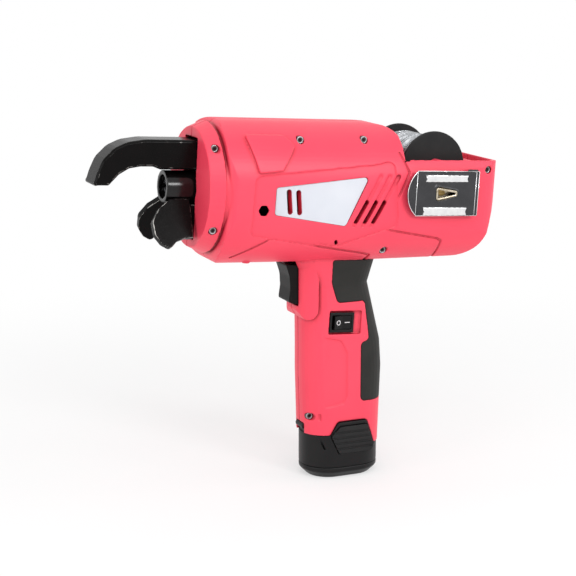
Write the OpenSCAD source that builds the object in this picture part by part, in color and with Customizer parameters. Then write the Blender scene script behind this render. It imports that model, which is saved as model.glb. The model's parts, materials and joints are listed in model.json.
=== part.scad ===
// Cordless rebar tying tool: a pitched barrel with a curling jaw at the nose,
// an open wire reel at the tail, and a handle that holds a stick battery.
// Millimetres, +Z up, +X to the nose, +Y to the left side.
// The battery foot stands on Z = 0, under the middle of the handle.

/* [Barrel] */
// height of the barrel axis above the foot, at the handle
barrel_z = 240; // [238:1:243]
// nose-up pitch of the barrel in degrees
barrel_pitch = 3.5; // [3:0.5:4]
// width of the barrel over both halves
barrel_w = 106; // [105:1:109]
// height of the barrel
barrel_h = 114; // [113:1:117]
// width of the flat along the top of the barrel
barrel_flat = 14; // [12:1:18]
// thickness of the moulded walls
wall = 3; // [2.6:0.1:3.2]
// radius of the nose face
collar_r = 47.6; // [47:0.1:48.4]
// length of the nose collar
collar_len = 11.5; // [11:0.5:13]
// depth of the sunk side panel
panel_depth = 1.2; // [0.8:0.1:1.3]

/* [Reel] */
// outer radius of the reel flanges
reel_r = 28; // [26.5:0.5:29]
// width of the reel over its flanges
reel_w = 66; // [64:1:68]
// radius of the packed wire under the outer layer
wire_core_r = 21; // [18:0.5:22]
// thickness of the wound wire
wire_d = 2; // [1.6:0.1:2.1]
// loops in the outer layer of wire
wire_loops = 22; // [14:1:22]

/* [Handle] */
// radius of a battery cell
cell_r = 9.1; // [9:0.05:9.25]
// thickness of the handle beside the battery stick
handle_side = 7; // [6.8:0.1:7.6]
// trigger stroke
trigger_travel = 6; // [4:0.5:6]
// width of the trigger
trigger_w = 23; // [20:0.5:23]
// lip of the battery foot before and behind its stick
battery_lip = 4.75; // [4.4:0.05:5.5]
// thickness of the battery foot beside its stick
battery_side = 8.5; // [8.3:0.1:9]
// stroke of the battery release buttons
button_travel = 2.5; // [1.5:0.5:2.5]

/* [Jaw] */
// width of the upper jaw
jaw_w = 26; // [25:0.5:26.5]
// width of the wire groove inside the jaw
jaw_groove = 3; // [2:0.5:4]
// outer radius of the guide sleeve
sleeve_r = 13; // [12.6:0.1:13.4]
// outward flare of the lower guides in degrees
guide_flare = 24; // [20:1:26]

/* [Gears] */
// module of the twist gears
twist_module = 1; // [0.98:0.01:1.01]
// module of the feed gears
feed_module = 0.8; // [0.78:0.01:0.81]
// play between gear flanks
backlash = 0.24; // [0.2:0.02:0.3]

/* [Hidden] */

$fn = 64;
// reach of a cut past the face it opens
over = 1;
// gap between pieces that move past each other
clear = 0.4;
// gap between pieces that are fixed together
fit = 0.1;
// running clearance of a shaft in its bore
run = 0.05;
// half of the gap between the two housing halves
seam = 0.05;
// straight steps in a rounded outline corner
arc_steps = 6;
// facets of the lofted pieces
loft_fn = 32;
// edge of a block that holds the whole part
reach = 400;

housing_color = [0.93, 0.24, 0.33];
black_color = [0.12, 0.12, 0.12];
steel_color = [0.62, 0.63, 0.65];
motor_color = [0.5, 0.51, 0.53];
brass_color = [0.72, 0.58, 0.3];

// outlines: shares of a size, and rounded corners
function placed(shares, size, at) = [for (p = shares) [at[0] + p[0] * size[0], at[1] + p[1] * size[1]]];
function unit(v) = v / norm(v);
function turn(a) = (a + 540) % 360 - 180;
function corner_arc(a, b, c, r) =
  let (u = unit(a - b), w = unit(c - b), half = acos(u * w) / 2)
  let (m = b + unit(u + w) * r / sin(half), p = b + u * r / tan(half), q = b + w * r / tan(half))
  let (s = atan2(p[1] - m[1], p[0] - m[0]), e = atan2(q[1] - m[1], q[0] - m[0]), d = turn(e - s))
  [for (i = [0:arc_steps]) m + r * [cos(s + d * i / arc_steps), sin(s + d * i / arc_steps)]];
function rounded(pts, rads) =
  let (n = len(pts))
  [for (i = [0:n - 1])
    each (rads[i] > 0 ? corner_arc(pts[(i + n - 1) % n], pts[i], pts[(i + 1) % n], rads[i]) : [pts[i]])];
function evenly(pts, r) = rounded(pts, [for (p = pts) r]);

module at_barrel() translate([0, 0, barrel_z]) rotate([0, -barrel_pitch, 0]) children();
module along_x(h) rotate([90, 0, 90]) linear_extrude(height = h) children();
module along_y(h) rotate([90, 0, 0]) linear_extrude(height = h, center = true) children();
module out_of_side(y, h)
  translate([0, y, 0]) rotate([-90, 0, 0]) mirror([0, 1, 0]) linear_extrude(height = h) children();
module both_sides() {
  children();
  mirror([0, 1, 0]) children();
}
module rod_x(at, r, h) translate(at) rotate([0, 90, 0]) cylinder(h = h, r = r);
module rod_y(at, r, h) translate(at) rotate([-90, 0, 0]) cylinder(h = h, r = r);
module rrect(l, w, r) {
  square([l - 2 * r, w], center = true);
  square([l, w - 2 * r], center = true);
  for (sx = [-1, 1], sy = [-1, 1]) translate([sx * (l / 2 - r), sy * (w / 2 - r)]) circle(r = r);
}
module slot_2d(l, w) {
  square([w, l - w], center = true);
  for (s = [-1, 1]) translate([0, s * (l - w) / 2]) circle(d = w, $fn = 24);
}
module left_half() translate([-reach, seam, -reach]) cube([2 * reach, reach, 2 * reach]);

// barrel, in its own pitched frame
barrel_front = 117;
barrel_top = barrel_h / 2;
barrel_bottom = -barrel_top;
barrel_corner = (barrel_w - barrel_flat) / 2;
barrel_size = [barrel_front, barrel_top];
nose_z = 2.5;
collar_seam = 2;
collar_groove = 2;
collar_taper = 5;
collar_back = barrel_front + collar_seam;
collar_front = collar_back + collar_len;
collar_base_r = collar_r + collar_taper;
nose_bore_r = collar_r - wall;
shoulder_r = 14;
shoulder_edge = 9;
crown_r = 60;
crown_edge = 12;
crown_rear = -12;
bay_front = -35;
bay_rear = -118;
bay_lip_drop = 2;
bay_lip = barrel_top - bay_lip_drop;
bay_floor = -7;
bay_corner = 10;
tail_rear = -122;
tail_top = 31;
tail_back_z = 3;
tail_heel = -50;
tail_r = 22;
tail_taper = 3;
tail_half = barrel_w / 2 - tail_taper;
bay_side = 3.5;
bay_half = tail_half - bay_side;
bay_flare = 2;

side_outline = rounded(
  [[barrel_front, barrel_bottom], [barrel_front, barrel_top], [crown_rear, barrel_top],
   [bay_front, bay_lip], [bay_front, tail_top], [tail_rear, tail_top], [tail_rear, tail_back_z],
   [tail_rear + shoulder_r, tail_heel], [crown_rear, barrel_bottom + wall]],
  [shoulder_edge, shoulder_r / 2, crown_r, crown_edge, 0, wall, shoulder_r, tail_r, 0]);
inside_outline = rounded(
  [[barrel_front - shoulder_r, barrel_bottom + wall], [barrel_front - shoulder_r, barrel_top - wall],
   [crown_rear, barrel_top - wall], [bay_front + wall, bay_lip - wall], [bay_front + wall, bay_floor - wall],
   [tail_rear + 2 * wall, bay_floor - wall], [tail_rear + 2 * wall, -shoulder_r],
   [tail_rear + tail_r + wall, tail_heel + 2 * wall], [crown_rear, barrel_bottom + 2 * wall]],
  [0, 0, crown_r, crown_edge - wall, 0, 0, 0, 0, 0]);
function plan_points(inset) =
  [[barrel_front, barrel_w / 2 - inset], [bay_front, barrel_w / 2 - inset], [tail_rear, tail_half - inset],
   [tail_rear, inset - tail_half], [bay_front, inset - barrel_w / 2], [barrel_front, inset - barrel_w / 2]];
plan_outline = rounded(plan_points(0), [shoulder_edge, 0, shoulder_r, shoulder_r, 0, shoulder_edge]);
bay_outline = rounded(
  [[bay_front + over, bay_half + bay_flare], [bay_front + over, -bay_half - bay_flare],
   [bay_rear, -bay_half], [bay_rear, bay_half]],
  [0, 0, bay_corner, bay_corner]);

function inside_at(z) =
  let (r = barrel_corner - wall, d = max(0, abs(z) - barrel_top + barrel_corner))
  barrel_w / 2 - wall - r + sqrt(r * r - d * d);
module section(inset) rrect(barrel_w - 2 * inset, barrel_h - 2 * inset, barrel_corner - inset);
module barrel_solid(inset)
  intersection() {
    translate([tail_rear - over, 0, 0]) along_x(barrel_front - tail_rear + 2 * over) section(inset);
    along_y(2 * barrel_w) polygon(side_outline);
    translate([0, 0, -barrel_h]) linear_extrude(height = 2 * barrel_h) polygon(plan_outline);
  }
module collar_solid() {
  rod_x([barrel_front - shoulder_r, 0, nose_z], collar_base_r - collar_groove,
    shoulder_r + collar_seam + over / 2);
  translate([collar_back, 0, nose_z]) rotate([0, 90, 0])
    cylinder(h = collar_len, r1 = collar_base_r, r2 = collar_r, $fn = 96);
}
slot_gap = 1.2;
slot_half = jaw_w / 2 + slot_gap;
slot_top = 42;
slot_bottom = -37.5;
slot_bulge = 3;
module nose_space() {
  rod_x([barrel_front - 2 * shoulder_r, 0, nose_z], nose_bore_r,
    collar_front - wall - barrel_front + 2 * shoulder_r);
  translate([collar_front - 2 * wall, -slot_half, slot_bottom])
    cube([3 * wall, 2 * slot_half, slot_top - slot_bottom]);
  rod_x([collar_front - 2 * wall, 0, nose_z], sleeve_r + slot_bulge, 3 * wall);
}
module barrel_space()
  intersection() {
    translate([tail_rear, 0, 0]) along_x(barrel_front - tail_rear) section(wall);
    along_y(2 * barrel_w) polygon(inside_outline);
    translate([0, 0, -barrel_h]) linear_extrude(height = 2 * barrel_h) polygon(plan_points(wall));
  }

// moulded details on the sides of the barrel
panel_shares = [[0.816, 0.307], [0.829, -0.526], [0.171, -0.702], [-0.256, -0.386], [-0.205, 0.544],
  [-0.085, 0.482]];
panel_corner = 6;
pad_shares = [[0.863, 0.842], [0.585, 0.842], [0.521, 0.719], [0.628, 0.386], [0.795, 0.351]];
pad_corner = 2;
pad_lift = 2.4;
label_shares = [[0.662, 0.154], [-0.021, 0.309], [0.137, -0.386], [0.665, -0.225]];
label_rads = [2, 2.5, 2.5, 2];
label_fit_share = 0.985;
label_rim_share = 1.04;
label_mid_share = [0.36, -0.04];
label_t = 0.8;
label_sink = 3.1;
label_y = barrel_w / 2 - label_sink;
slot_shares = [[0.56, -0.044], [0.491, -0.053]];
slot_len = 20;
slot_w = 4.4;
slot_lean = 6.5;
vent_shares = [[0.027, -0.184], [-0.041, -0.186], [-0.104, -0.186]];
vent_len = 21;
vent_w = 3.4;
vent_lean = -28;
flute_len = 48;
flute_shift = [-4.8, 8.8];
flute_deep = 0.9;
hex_share = [0.744, -0.163];
hex_r = 4.6;
lamp_share = [0.175, -0.63];
lamp_len = 4.6;
lamp_w = 2.2;
lamp_lean = 30;
line_w = 1.8;
saddle_shares = [[0.906, -0.854], [0.692, -0.586], [0.641, -0.568], [-0.068, -0.814], [-0.12, -0.842],
  [-0.128, -1]];
rear_shares = [[-0.256, 0.632], [-0.316, 0.368], [-0.158, -0.342], [-0.171, -0.439], [-0.586, -0.579],
  [-0.62, -0.614], [-0.632, -0.912]];
function on_barrel(shares) = placed(shares, barrel_size, [0, 0]);
module stroke(a, b, w)
  translate(a) rotate(atan2(b[1] - a[1], b[0] - a[0])) translate([0, -w / 2]) square([norm(b - a), w]);
module line_2d(pts, w) {
  for (i = [0:len(pts) - 2]) stroke(pts[i], pts[i + 1], w);
  for (p = pts) translate(p) circle(d = w, $fn = 12);
}
module side_cuts()
  difference() {
    along_y(2 * barrel_w) {
      polygon(evenly(on_barrel(panel_shares), panel_corner));
      line_2d(on_barrel(saddle_shares), line_w);
      line_2d(on_barrel(rear_shares), line_w);
    }
    barrel_solid(panel_depth);
  }
module through_cuts() {
  for (p = on_barrel(slot_shares)) translate([p[0], 0, p[1]]) rotate([0, slot_lean, 0])
    out_of_side(barrel_w / 4, barrel_w) slot_2d(slot_len, slot_w);
  for (p = on_barrel(vent_shares)) translate([p[0], 0, p[1]]) rotate([0, vent_lean, 0])
    out_of_side(barrel_w / 4, barrel_w) slot_2d(vent_len, vent_w);
}
module flutes()
  difference() {
    for (p = on_barrel(vent_shares))
      translate([p[0] + flute_shift[0], 0, p[1] + flute_shift[1]]) rotate([0, vent_lean, 0])
        out_of_side(barrel_w / 4, barrel_w) slot_2d(flute_len, vent_w);
    barrel_solid(panel_depth + flute_deep);
  }
module pads()
  both_sides() intersection() {
    out_of_side(barrel_w / 4, barrel_w) polygon(evenly(on_barrel(pad_shares), pad_corner));
    along_x(barrel_front - shoulder_r) section(-pad_lift);
  }
label_mid = on_barrel([label_mid_share])[0];
module label_2d(share)
  translate(label_mid) scale(share) translate(-label_mid)
    polygon(rounded(on_barrel(label_shares), label_rads));
module label_back()
  intersection() {
    out_of_side(label_y - wall, 2 * wall) label_2d(label_rim_share);
    barrel_solid(panel_depth + fit);
  }
well_deep = 8;
module wells(shares, lean, l, w, y)
  for (p = on_barrel(shares)) translate([p[0], 0, p[1]]) rotate([0, lean, 0])
    out_of_side(y - well_deep, well_deep) slot_2d(l + 2 * wall, w + 2 * wall);
module slot_wells() {
  wells(slot_shares, slot_lean, slot_len, slot_w, label_y - fit);
  wells(vent_shares, vent_lean, vent_len, vent_w, barrel_w / 2 - wall);
}

// row of cells and the battery stick round it
stick_end = 1.05;
stick_side = 6.8;
stick_r = 12;
stick_top = 98;
cell_space_l = 6 * cell_r + 2 * clear;
cell_space_w = 2 * cell_r + 2 * fit;
stick_l = cell_space_l + 2 * stick_end;
stick_w = cell_space_w + 2 * stick_side;
battery_l = stick_l + 2 * battery_lip;
battery_w = stick_w + 2 * battery_side;

// handle, lofted between stations: height, front, rear, half width
root_sink = 9;
front_wall = 5.75;
rear_wall = 4.75;
palm_swell = 2;
palm_heel = 2.5;
neck_swell = 0.5;
root_swell = 11;
handle_w = stick_w + 2 * handle_side;
handle_h = barrel_z - barrel_top + root_sink;
foot_z = 24;
foot_front = stick_l / 2 + front_wall;
foot_rear = -stick_l / 2 - rear_wall;
palm_low = 92;
palm_high = 114;
palm_front = foot_front + palm_swell;
palm_rear = foot_rear - palm_heel;
palm_lean = 1.5;
neck_z = 164;
neck_front = palm_front + neck_swell;
neck_rear = -22.5;
root_front = neck_front + root_swell;
root_rear = -30;
root_flare = 3;
station_r = 20;
slice = 0.2;
stations = [
  [foot_z, foot_front, foot_rear, handle_w / 2],
  [palm_low, palm_front, palm_rear, handle_w / 2],
  [palm_high, palm_front, palm_rear + palm_lean, handle_w / 2],
  [neck_z, neck_front, neck_rear, handle_w / 2],
  [handle_h, root_front, root_rear, handle_w / 2 + root_flare]];
grip_t = 2.6;
grip_low = 62;
core_stations = [[grip_low - wall, foot_front, foot_rear, handle_w / 2],
  stations[2], stations[3], stations[4]];
module station(s, inset)
  translate([(s[1] + s[2]) / 2, 0, s[0]]) linear_extrude(height = slice)
    rrect(s[1] - s[2] - 2 * inset, 2 * (s[3] - inset), station_r - inset, $fn = loft_fn);
module loft(list, inset)
  for (i = [0:len(list) - 2]) hull() {
    station(list[i], inset);
    station(list[i + 1], inset);
  }
handle_size = [palm_front, handle_h];
grip_shares = [[0.452, 0.974], [0.452, 0.875], [0.301, 0.784], [-0.384, 0.784], [-0.493, 0.609],
  [-0.288, 0.599], [-0.288, 0.339], [-1.64, 0.333], [-1.64, 1.04], [-0.33, 0.965]];
grip_rads = [2, 8, 4, 4, 4, 4, 4, 0, 0, 2];
module grip_outline(shift)
  translate(shift) along_y(2 * barrel_w)
    polygon(rounded(placed(grip_shares, handle_size, [0, 0]), grip_rads));
module grip_zone(gap)
  intersection() {
    grip_outline([-gap, 0, gap]);
    grip_outline([-gap, 0, -gap]);
  }
handle_panel_shares = [[1.4, 0.68], [0.2, 0.617], [0.04, 0.56], [0.04, 0.365], [0.13, 0.335], [0.6, 0.32],
  [1.4, 0.322]];
handle_panel_corner = 2;
handle_panel_deep = 1.2;
module handle_panels()
  both_sides() out_of_side(handle_w / 2 - handle_panel_deep, wall)
    polygon(evenly(placed(handle_panel_shares, handle_size, [0, 0]), handle_panel_corner));

// space in the handle for the battery stick and the switches
block_h = 12;
block_gap = 1.5;
lower_space_top = stick_top + block_gap + block_h + clear;
upper_wall = 7;
upper_back = 6.5;
upper_front = neck_front - upper_wall;
upper_rear = neck_rear + upper_back;
upper_space_w = handle_w - 4 * wall;
rim_notch = 49;
rim_size = [battery_l / 2, rim_notch];
rim_far_share = 1.8;
rim_shares = [[rim_far_share, 0.79], [0.507, 0.776], [0.3, 1], [-0.478, 1], [-0.731, 0.551],
  [-rim_far_share, 0.51]];
rim_rads = [0, 2, 3, 3, 2, 0, 0, 0];
tongue_w = 14;
tongue_r = 2.6;
tongue_z = 44;
function rim_outline(low, drop) = rounded(
  concat([for (p = placed(rim_shares, rim_size, [0, 0])) p - [0, drop]],
    [[-rim_far_share * rim_size[0], low], [rim_far_share * rim_size[0], low]]), rim_rads);
module handle_space() {
  translate([0, 0, -over]) linear_extrude(height = lower_space_top + over)
    rrect(stick_l + 2 * clear, stick_w + 2 * clear, stick_r);
  translate([(upper_front + upper_rear) / 2, 0, stick_top])
    linear_extrude(height = barrel_z - stick_top - barrel_top + 2 * wall)
      rrect(upper_front - upper_rear, upper_space_w, stick_r);
  along_y(2 * barrel_w) polygon(rim_outline(-over, 0));
  translate([stick_l / 2 - 2 * over, -tongue_w / 2 - clear, 0])
    cube([stick_l, tongue_w + 2 * clear, tongue_z + tongue_r + clear]);
}

// trigger and the raised surround it slides in
trigger_seat = 6;
trigger_back = neck_front - trigger_seat;
trigger_low = 149;
trigger_size = [21, 34.5];
trigger_shares = [[1, 1], [0.84, 0.7], [0.81, 0.4], [0.89, 0.08], [0.5, 0.02], [0, 0], [0, 0.86],
  [0.45, 0.96]];
trigger_rads = [1, 14, 14, 2, 4, 1, 2, 4];
trigger_outline = rounded(placed(trigger_shares, trigger_size, [trigger_back, trigger_low]), trigger_rads);
module trigger_space()
  translate([trigger_back - trigger_travel - 2 * clear, -trigger_w / 2 - clear, trigger_low - clear])
    cube([2 * trigger_size[0], trigger_w + 2 * clear, trigger_size[1] + wall]);
surround_shares = [[1.26, 0.99], [0.986, 0.9635], [0.863, 0.943], [0.773, 0.896], [0.784, 0.745],
  [0.904, 0.7214], [1.041, 0.7135], [1.233, 0.776]];
surround_rads = [0, 3, 5, 8, 8, 3, 3, 2];
surround_lift = 1.6;
surround_reach = 5.5;
surround_round = 18;
surround_half = handle_w / 2 + surround_lift;
module trigger_surround()
  intersection() {
    along_y(2 * barrel_w) polygon(rounded(placed(surround_shares, handle_size, [0, 0]), surround_rads));
    translate([neck_front + surround_reach - palm_front, 0, 0]) linear_extrude(height = handle_h)
      rrect(2 * palm_front, 2 * surround_half, surround_round);
  }

// screws: shares of the barrel's front, half height and half width
screw_shares = [[0.462, 0.781, 0.65], [-0.013, 0.795, 0.634], [1.056, 0.64, 0.575], [1.06, -0.461, 0.689],
  [-0.209, -0.763, 0.642]];
tail_screw_in = 12;
tail_screw_drop = 7.4;
tail_screw_deep = 6;
tail_screw = [tail_rear + tail_screw_in, tail_top - tail_screw_drop, tail_half - tail_screw_deep];
screw_places = concat(
  [for (s = screw_shares) [s[0] * barrel_front, s[1] * barrel_top, s[2] * barrel_w / 2]], [tail_screw]);
feed_screw = screw_places[1];
heel_screw = screw_places[4];
jaw_screw = screw_places[2];
guide_screw = screw_places[3];
handle_screw_share = [0.857, 0.281, 0.37];
handle_screw = [handle_screw_share[0] * palm_front, handle_screw_share[1] * handle_h,
  handle_screw_share[2] * handle_w / 2];
screw_way = 7;
screw_way_deep = 4;
screw_r = 1.7;
head_r = 3;
head_h = 3;
socket_r = 1.4;
boss_r = 4.2;
screw_depth = 10;
boss_outline = [[barrel_front - shoulder_r, barrel_bottom], [barrel_front - shoulder_r, barrel_top],
  [crown_rear, barrel_top - over], [bay_front + over, bay_lip - over], [bay_front + over, tail_heel],
  [crown_rear, barrel_bottom + wall]];
module screw_bore(seat, deep) {
  rod_y([0, -deep, 0], screw_r + fit, seat + deep);
  rod_y([0, seat - fit, 0], head_r + fit, barrel_w);
}
module screw_bores()
  for (p = screw_places) translate([p[0], 0, p[1]]) screw_bore(p[2], screw_depth + over);
module bosses() {
  intersection() {
    for (p = screw_places) rod_y([p[0], -barrel_w / 2, p[1]], boss_r, barrel_w);
    translate([tail_rear, 0, 0]) along_x(barrel_front - tail_rear) section(over);
    along_y(2 * barrel_w) polygon(boss_outline);
  }
  both_sides() {
    rod_y([tail_screw[0], 0, tail_screw[1]], boss_r, tail_half - wall);
    for (p = [jaw_screw, guide_screw]) rod_y([p[0], jaw_w / 2 + fit, p[1]], boss_r, p[2] - jaw_w / 2);
  }
}

// reel carried on bosses inside the tail bay
reel_x = -68;
reel_z = 24.7;
spindle_r = 4;
reel_boss_r = 6;
reel_boss_gap = 1.5;
spindle_seat = 6;
spindle_reach = reel_w / 2 + reel_boss_gap + spindle_seat;
module reel_bosses()
  both_sides() rod_y([reel_x, reel_w / 2 + reel_boss_gap, reel_z], reel_boss_r,
    tail_half - reel_w / 2 - reel_boss_gap - over);

// posts under the control board
board_x = 22;
board_z = -30;
board_w = 56;
board_t = 1.6;
post_r = 3;
post_inset = 6;
module board_posts()
  for (x = [board_x + post_inset, board_x + board_l - post_inset], s = [-1, 1])
    translate([x, s * (board_w / 2 - post_inset), barrel_bottom + wall / 2])
      cylinder(h = board_z - fit - barrel_bottom - wall / 2, r = post_r);

module housing_body()
  difference() {
    union() {
      difference() {
        union() {
          at_barrel() {
            barrel_solid(0);
            collar_solid();
            pads();
          }
          difference() {
            union() {
              loft(stations, 0);
              trigger_surround();
            }
            grip_zone(0);
          }
          loft(core_stations, grip_t);
        }
        at_barrel() {
          barrel_space();
          nose_space();
          side_cuts();
          translate([0, 0, bay_floor]) linear_extrude(height = barrel_h) polygon(bay_outline);
        }
        handle_space();
        trigger_space();
        handle_panels();
      }
      at_barrel() {
        bosses();
        reel_bosses();
        both_sides() {
          label_back();
          slot_wells();
        }
        board_posts();
      }
    }
    at_barrel() {
      both_sides() {
        through_cuts();
        flutes();
      }
      screw_bores();
      rod_x([bay_front - over, 0, wire_z], tube_r, 3 * wall);
      rod_y([reel_x, -spindle_reach, reel_z], spindle_r + fit, 2 * spindle_reach);
    }
    translate([handle_screw[0], 0, handle_screw[1]]) {
      screw_bore(handle_screw[2], screw_depth + over);
      translate([-screw_way, handle_w / 2 - screw_way_deep, -head_r]) cube([screw_way, handle_w, 2 * head_r]);
    }
  }

module left_housing() color(housing_color) difference() {
  intersection() {
    housing_body();
    left_half();
  }
  at_barrel() {
    out_of_side(barrel_w / 4, barrel_w) translate(on_barrel([hex_share])[0])
      circle(r = hex_r, $fn = 6);
    out_of_side(barrel_w / 4, barrel_w) translate(on_barrel([lamp_share])[0])
      rotate(-lamp_lean) slot_2d(lamp_len, lamp_w);
    out_of_side(label_y, wall) label_2d(1);
    clip_seat();
    rod_y([clip_screw_at[0], 0, clip_screw_at[1]], clip_bolt_r + fit, barrel_w);
  }
  rocker_pocket();
}
module right_housing() color(housing_color) intersection() {
  housing_body();
  mirror([0, 1, 0]) left_half();
}

module screw(seat, deep) {
  rod_y([0, seat - deep, 0], screw_r, deep + fit);
  difference() {
    rod_y([0, seat, 0], head_r, head_h);
    translate([0, seat + head_h / 2, 0]) rotate([-90, 0, 0]) cylinder(h = head_h, r = socket_r, $fn = 6);
  }
}
module housing_screws() color(steel_color) {
  at_barrel() for (p = screw_places) translate([p[0], 0, p[1]]) screw(p[2], p[2] + screw_depth);
  translate([handle_screw[0], 0, handle_screw[1]]) screw(handle_screw[2], handle_screw[2] + screw_depth);
}
module side_label() color([0.86, 0.87, 0.9]) at_barrel() difference() {
  out_of_side(label_y + fit, label_t) label_2d(label_fit_share);
  through_cuts();
}

module grip_half() intersection() {
  difference() {
    intersection() {
      loft(stations, 0);
      grip_zone(fit);
    }
    loft(core_stations, grip_t - fit);
    at_barrel() barrel_solid(-fit);
  }
  left_half();
}
module left_grip() color(black_color) grip_half();
module right_grip() color(black_color) mirror([0, 1, 0]) grip_half();

// belt clip: inner leaf, rear bend, ribbed outer leaf with a flared front lip
clip_rear = -97.5;
clip_fold = -41.3;
clip_z = 5.2;
clip_h = 36;
clip_t = 1.2;
clip_gap = 5.6;
clip_edge = 0.5;
clip_leaf_l = 45.5;
clip_leaf_h = 30;
clip_sink = 0.5;
clip_x = (clip_rear + clip_fold) / 2;
clip_seat_y = tail_half - clip_sink;
clip_out_y = clip_seat_y + fit + clip_t + clip_gap;
lip_bulge = 8.7;
lip_lean = 10;
lip_step = 0.5;
lip_h = clip_h - 2 * lip_step;
lip_r = lip_h * lip_h / (8 * lip_bulge) + lip_bulge / 2;
rib_t = 1.2;
rib_shares = [[-1, 1], [-0.95, 0], [-1, -1], [1, -1], [0.95, 0], [1, 1]];
rib_sizes = [[19.3, 2.6], [19.8, 3.1]];
rib_places = [[1.6, 12.1], [2, -14.4]];
eyelet_t = 0.5;
eyelet_share = 1.18;
eyelet_rads = [2.5, 2.5, 2, 2];
eyelet_size = [10, 8];
eyelet_shares = [[1.06, 0.74], [1.06, -0.85], [-0.84, -0.29], [-0.84, 0.3]];
tab_size = [9, 1.2, 1.6];
clip_screw_at = [-66.5, 6];
clip_screw_r = 3.4;
clip_screw_h = 2;
clip_bolt_r = 1.6;
clip_bolt_l = 5;
clip_slot = 1.1;
module clip_seat()
  translate([clip_rear - clip_edge, clip_seat_y, clip_z - clip_leaf_h / 2 - clip_edge])
    cube([clip_leaf_l + 2 * clip_edge, barrel_w, clip_leaf_h + 2 * clip_edge]);
module clip_lip()
  translate([clip_fold, clip_out_y, clip_z]) rotate([0, 0, lip_lean]) out_of_side(0, clip_t) intersection() {
    translate([lip_bulge - lip_r, 0]) circle(r = lip_r);
    translate([-clip_t / 2, -clip_h]) square([lip_r, 2 * clip_h]);
  }
module eyelet_2d(share)
  polygon(rounded(placed(share * eyelet_shares, eyelet_size, [0, 0]), eyelet_rads));
module belt_clip() color(steel_color) at_barrel() difference() {
  union() {
    translate([clip_rear, clip_seat_y + fit, clip_z - clip_leaf_h / 2]) {
      cube([clip_leaf_l, clip_t, clip_leaf_h]);
      cube([clip_t, clip_out_y - clip_seat_y, clip_leaf_h]);
    }
    translate([clip_rear, clip_out_y, clip_z - clip_h / 2]) cube([clip_fold - clip_rear, clip_t, clip_h]);
    clip_lip();
    translate([clip_x, 0, clip_z]) {
      for (i = [0, 1]) translate([rib_places[i][0], 0, rib_places[i][1]])
        out_of_side(clip_out_y + clip_t / 2, clip_t / 2 + rib_t)
          polygon(placed(rib_shares, rib_sizes[i], [0, 0]));
      out_of_side(clip_out_y + clip_t / 2, clip_t / 2 + eyelet_t) eyelet_2d(eyelet_share);
    }
    translate([clip_rear + clip_t, clip_out_y, clip_z + clip_h / 2 - fit]) cube(tab_size);
  }
  rod_y([clip_screw_at[0], clip_seat_y - over, clip_screw_at[1]], clip_bolt_r + fit, clip_t + 2 * over);
  translate([clip_x, 0, clip_z]) out_of_side(clip_out_y - over, clip_t + eyelet_t + 2 * over) eyelet_2d(1);
}
module clip_screw() color(brass_color) at_barrel()
  translate([clip_screw_at[0], clip_out_y - clip_gap, clip_screw_at[1]]) difference() {
    union() {
      rod_y([0, fit, 0], clip_screw_r, clip_screw_h);
      rod_y([0, -clip_bolt_l, 0], clip_bolt_r, clip_bolt_l + 2 * fit);
    }
    translate([-2 * clip_screw_r, clip_screw_h / 2, -clip_slot / 2])
      cube([4 * clip_screw_r, clip_screw_h, clip_slot]);
  }

// trigger with its spring and switch
spring_z = 166;
spring_r = 3.5;
spring_wire = 0.8;
spring_bore = 12;
switch_gap = 6.2;
switch_front = trigger_back - trigger_travel - switch_gap;
switch_l = 22;
switch_h = 26;
module trigger() color(black_color) difference() {
  along_y(trigger_w) polygon(trigger_outline);
  rod_x([trigger_back - over, 0, spring_z], spring_r + clear, spring_bore + over);
}
module trigger_spring() color(steel_color) difference() {
  rod_x([switch_front + fit, 0, spring_z], spring_r,
    trigger_back + spring_bore - switch_front - 2 * fit);
  rod_x([switch_front, 0, spring_z], spring_r - spring_wire, trigger_size[0] + switch_l);
}
module trigger_switch() color([0.16, 0.16, 0.18])
  translate([switch_front - switch_l, fit - upper_space_w / 2, spring_z - switch_h / 2])
    cube([switch_l, upper_space_w - 2 * fit, switch_h]);

// rocker switch in a pocket on the left side of the handle
rocker_x = 4;
rocker_z = 133.5;
rocker_lean = 4;
pocket_l = 29;
pocket_h = 19.5;
pocket_deep = 2.4;
pocket_y = handle_w / 2 - pocket_deep;
bezel_x = 3;
bezel_l = 21.5;
bezel_h = 16.5;
bezel_t = 2;
body_l = 19;
body_h = 13;
body_deep = 11;
rocker_half = 8.4;
rocker_h = 11;
rocker_rest = 8;
rocker_sink = 1.6;
rocker_well = 6;
rocker_size = [8, 4.6];
rocker_pin_r = 1.2;
rocker_shares = [[-1, 1], [0, 0.75], [1, 1], [0.88, 0.05], [0.37, -0.8], [-0.37, -0.8], [-0.88, 0.05]];
module at_rocker() translate([rocker_x, 0, rocker_z]) rotate([0, -rocker_lean, 0]) children();
module rocker_pocket() at_rocker() {
  translate([-pocket_l / 2, pocket_y, -pocket_h / 2]) cube([pocket_l, handle_w, pocket_h]);
  translate([bezel_x - body_l / 2 - fit, 0, -body_h / 2 - fit])
    cube([body_l + 2 * fit, handle_w, body_h + 2 * fit]);
}
module rocker_frame() color(black_color) at_rocker() difference() {
  union() {
    translate([bezel_x - bezel_l / 2, pocket_y + fit, -bezel_h / 2]) cube([bezel_l, bezel_t, bezel_h]);
    translate([bezel_x - body_l / 2, pocket_y - body_deep, -body_h / 2])
      cube([body_l, body_deep + bezel_t / 2, body_h]);
  }
  translate([bezel_x - rocker_half - clear, pocket_y - rocker_well, -rocker_h / 2 - clear])
    cube([2 * (rocker_half + clear), handle_w, rocker_h + 2 * clear]);
  translate([bezel_x, pocket_y - rocker_sink, -body_h / 2 - fit])
    cylinder(h = body_h + 2 * fit, r = rocker_pin_r + run);
}
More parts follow.
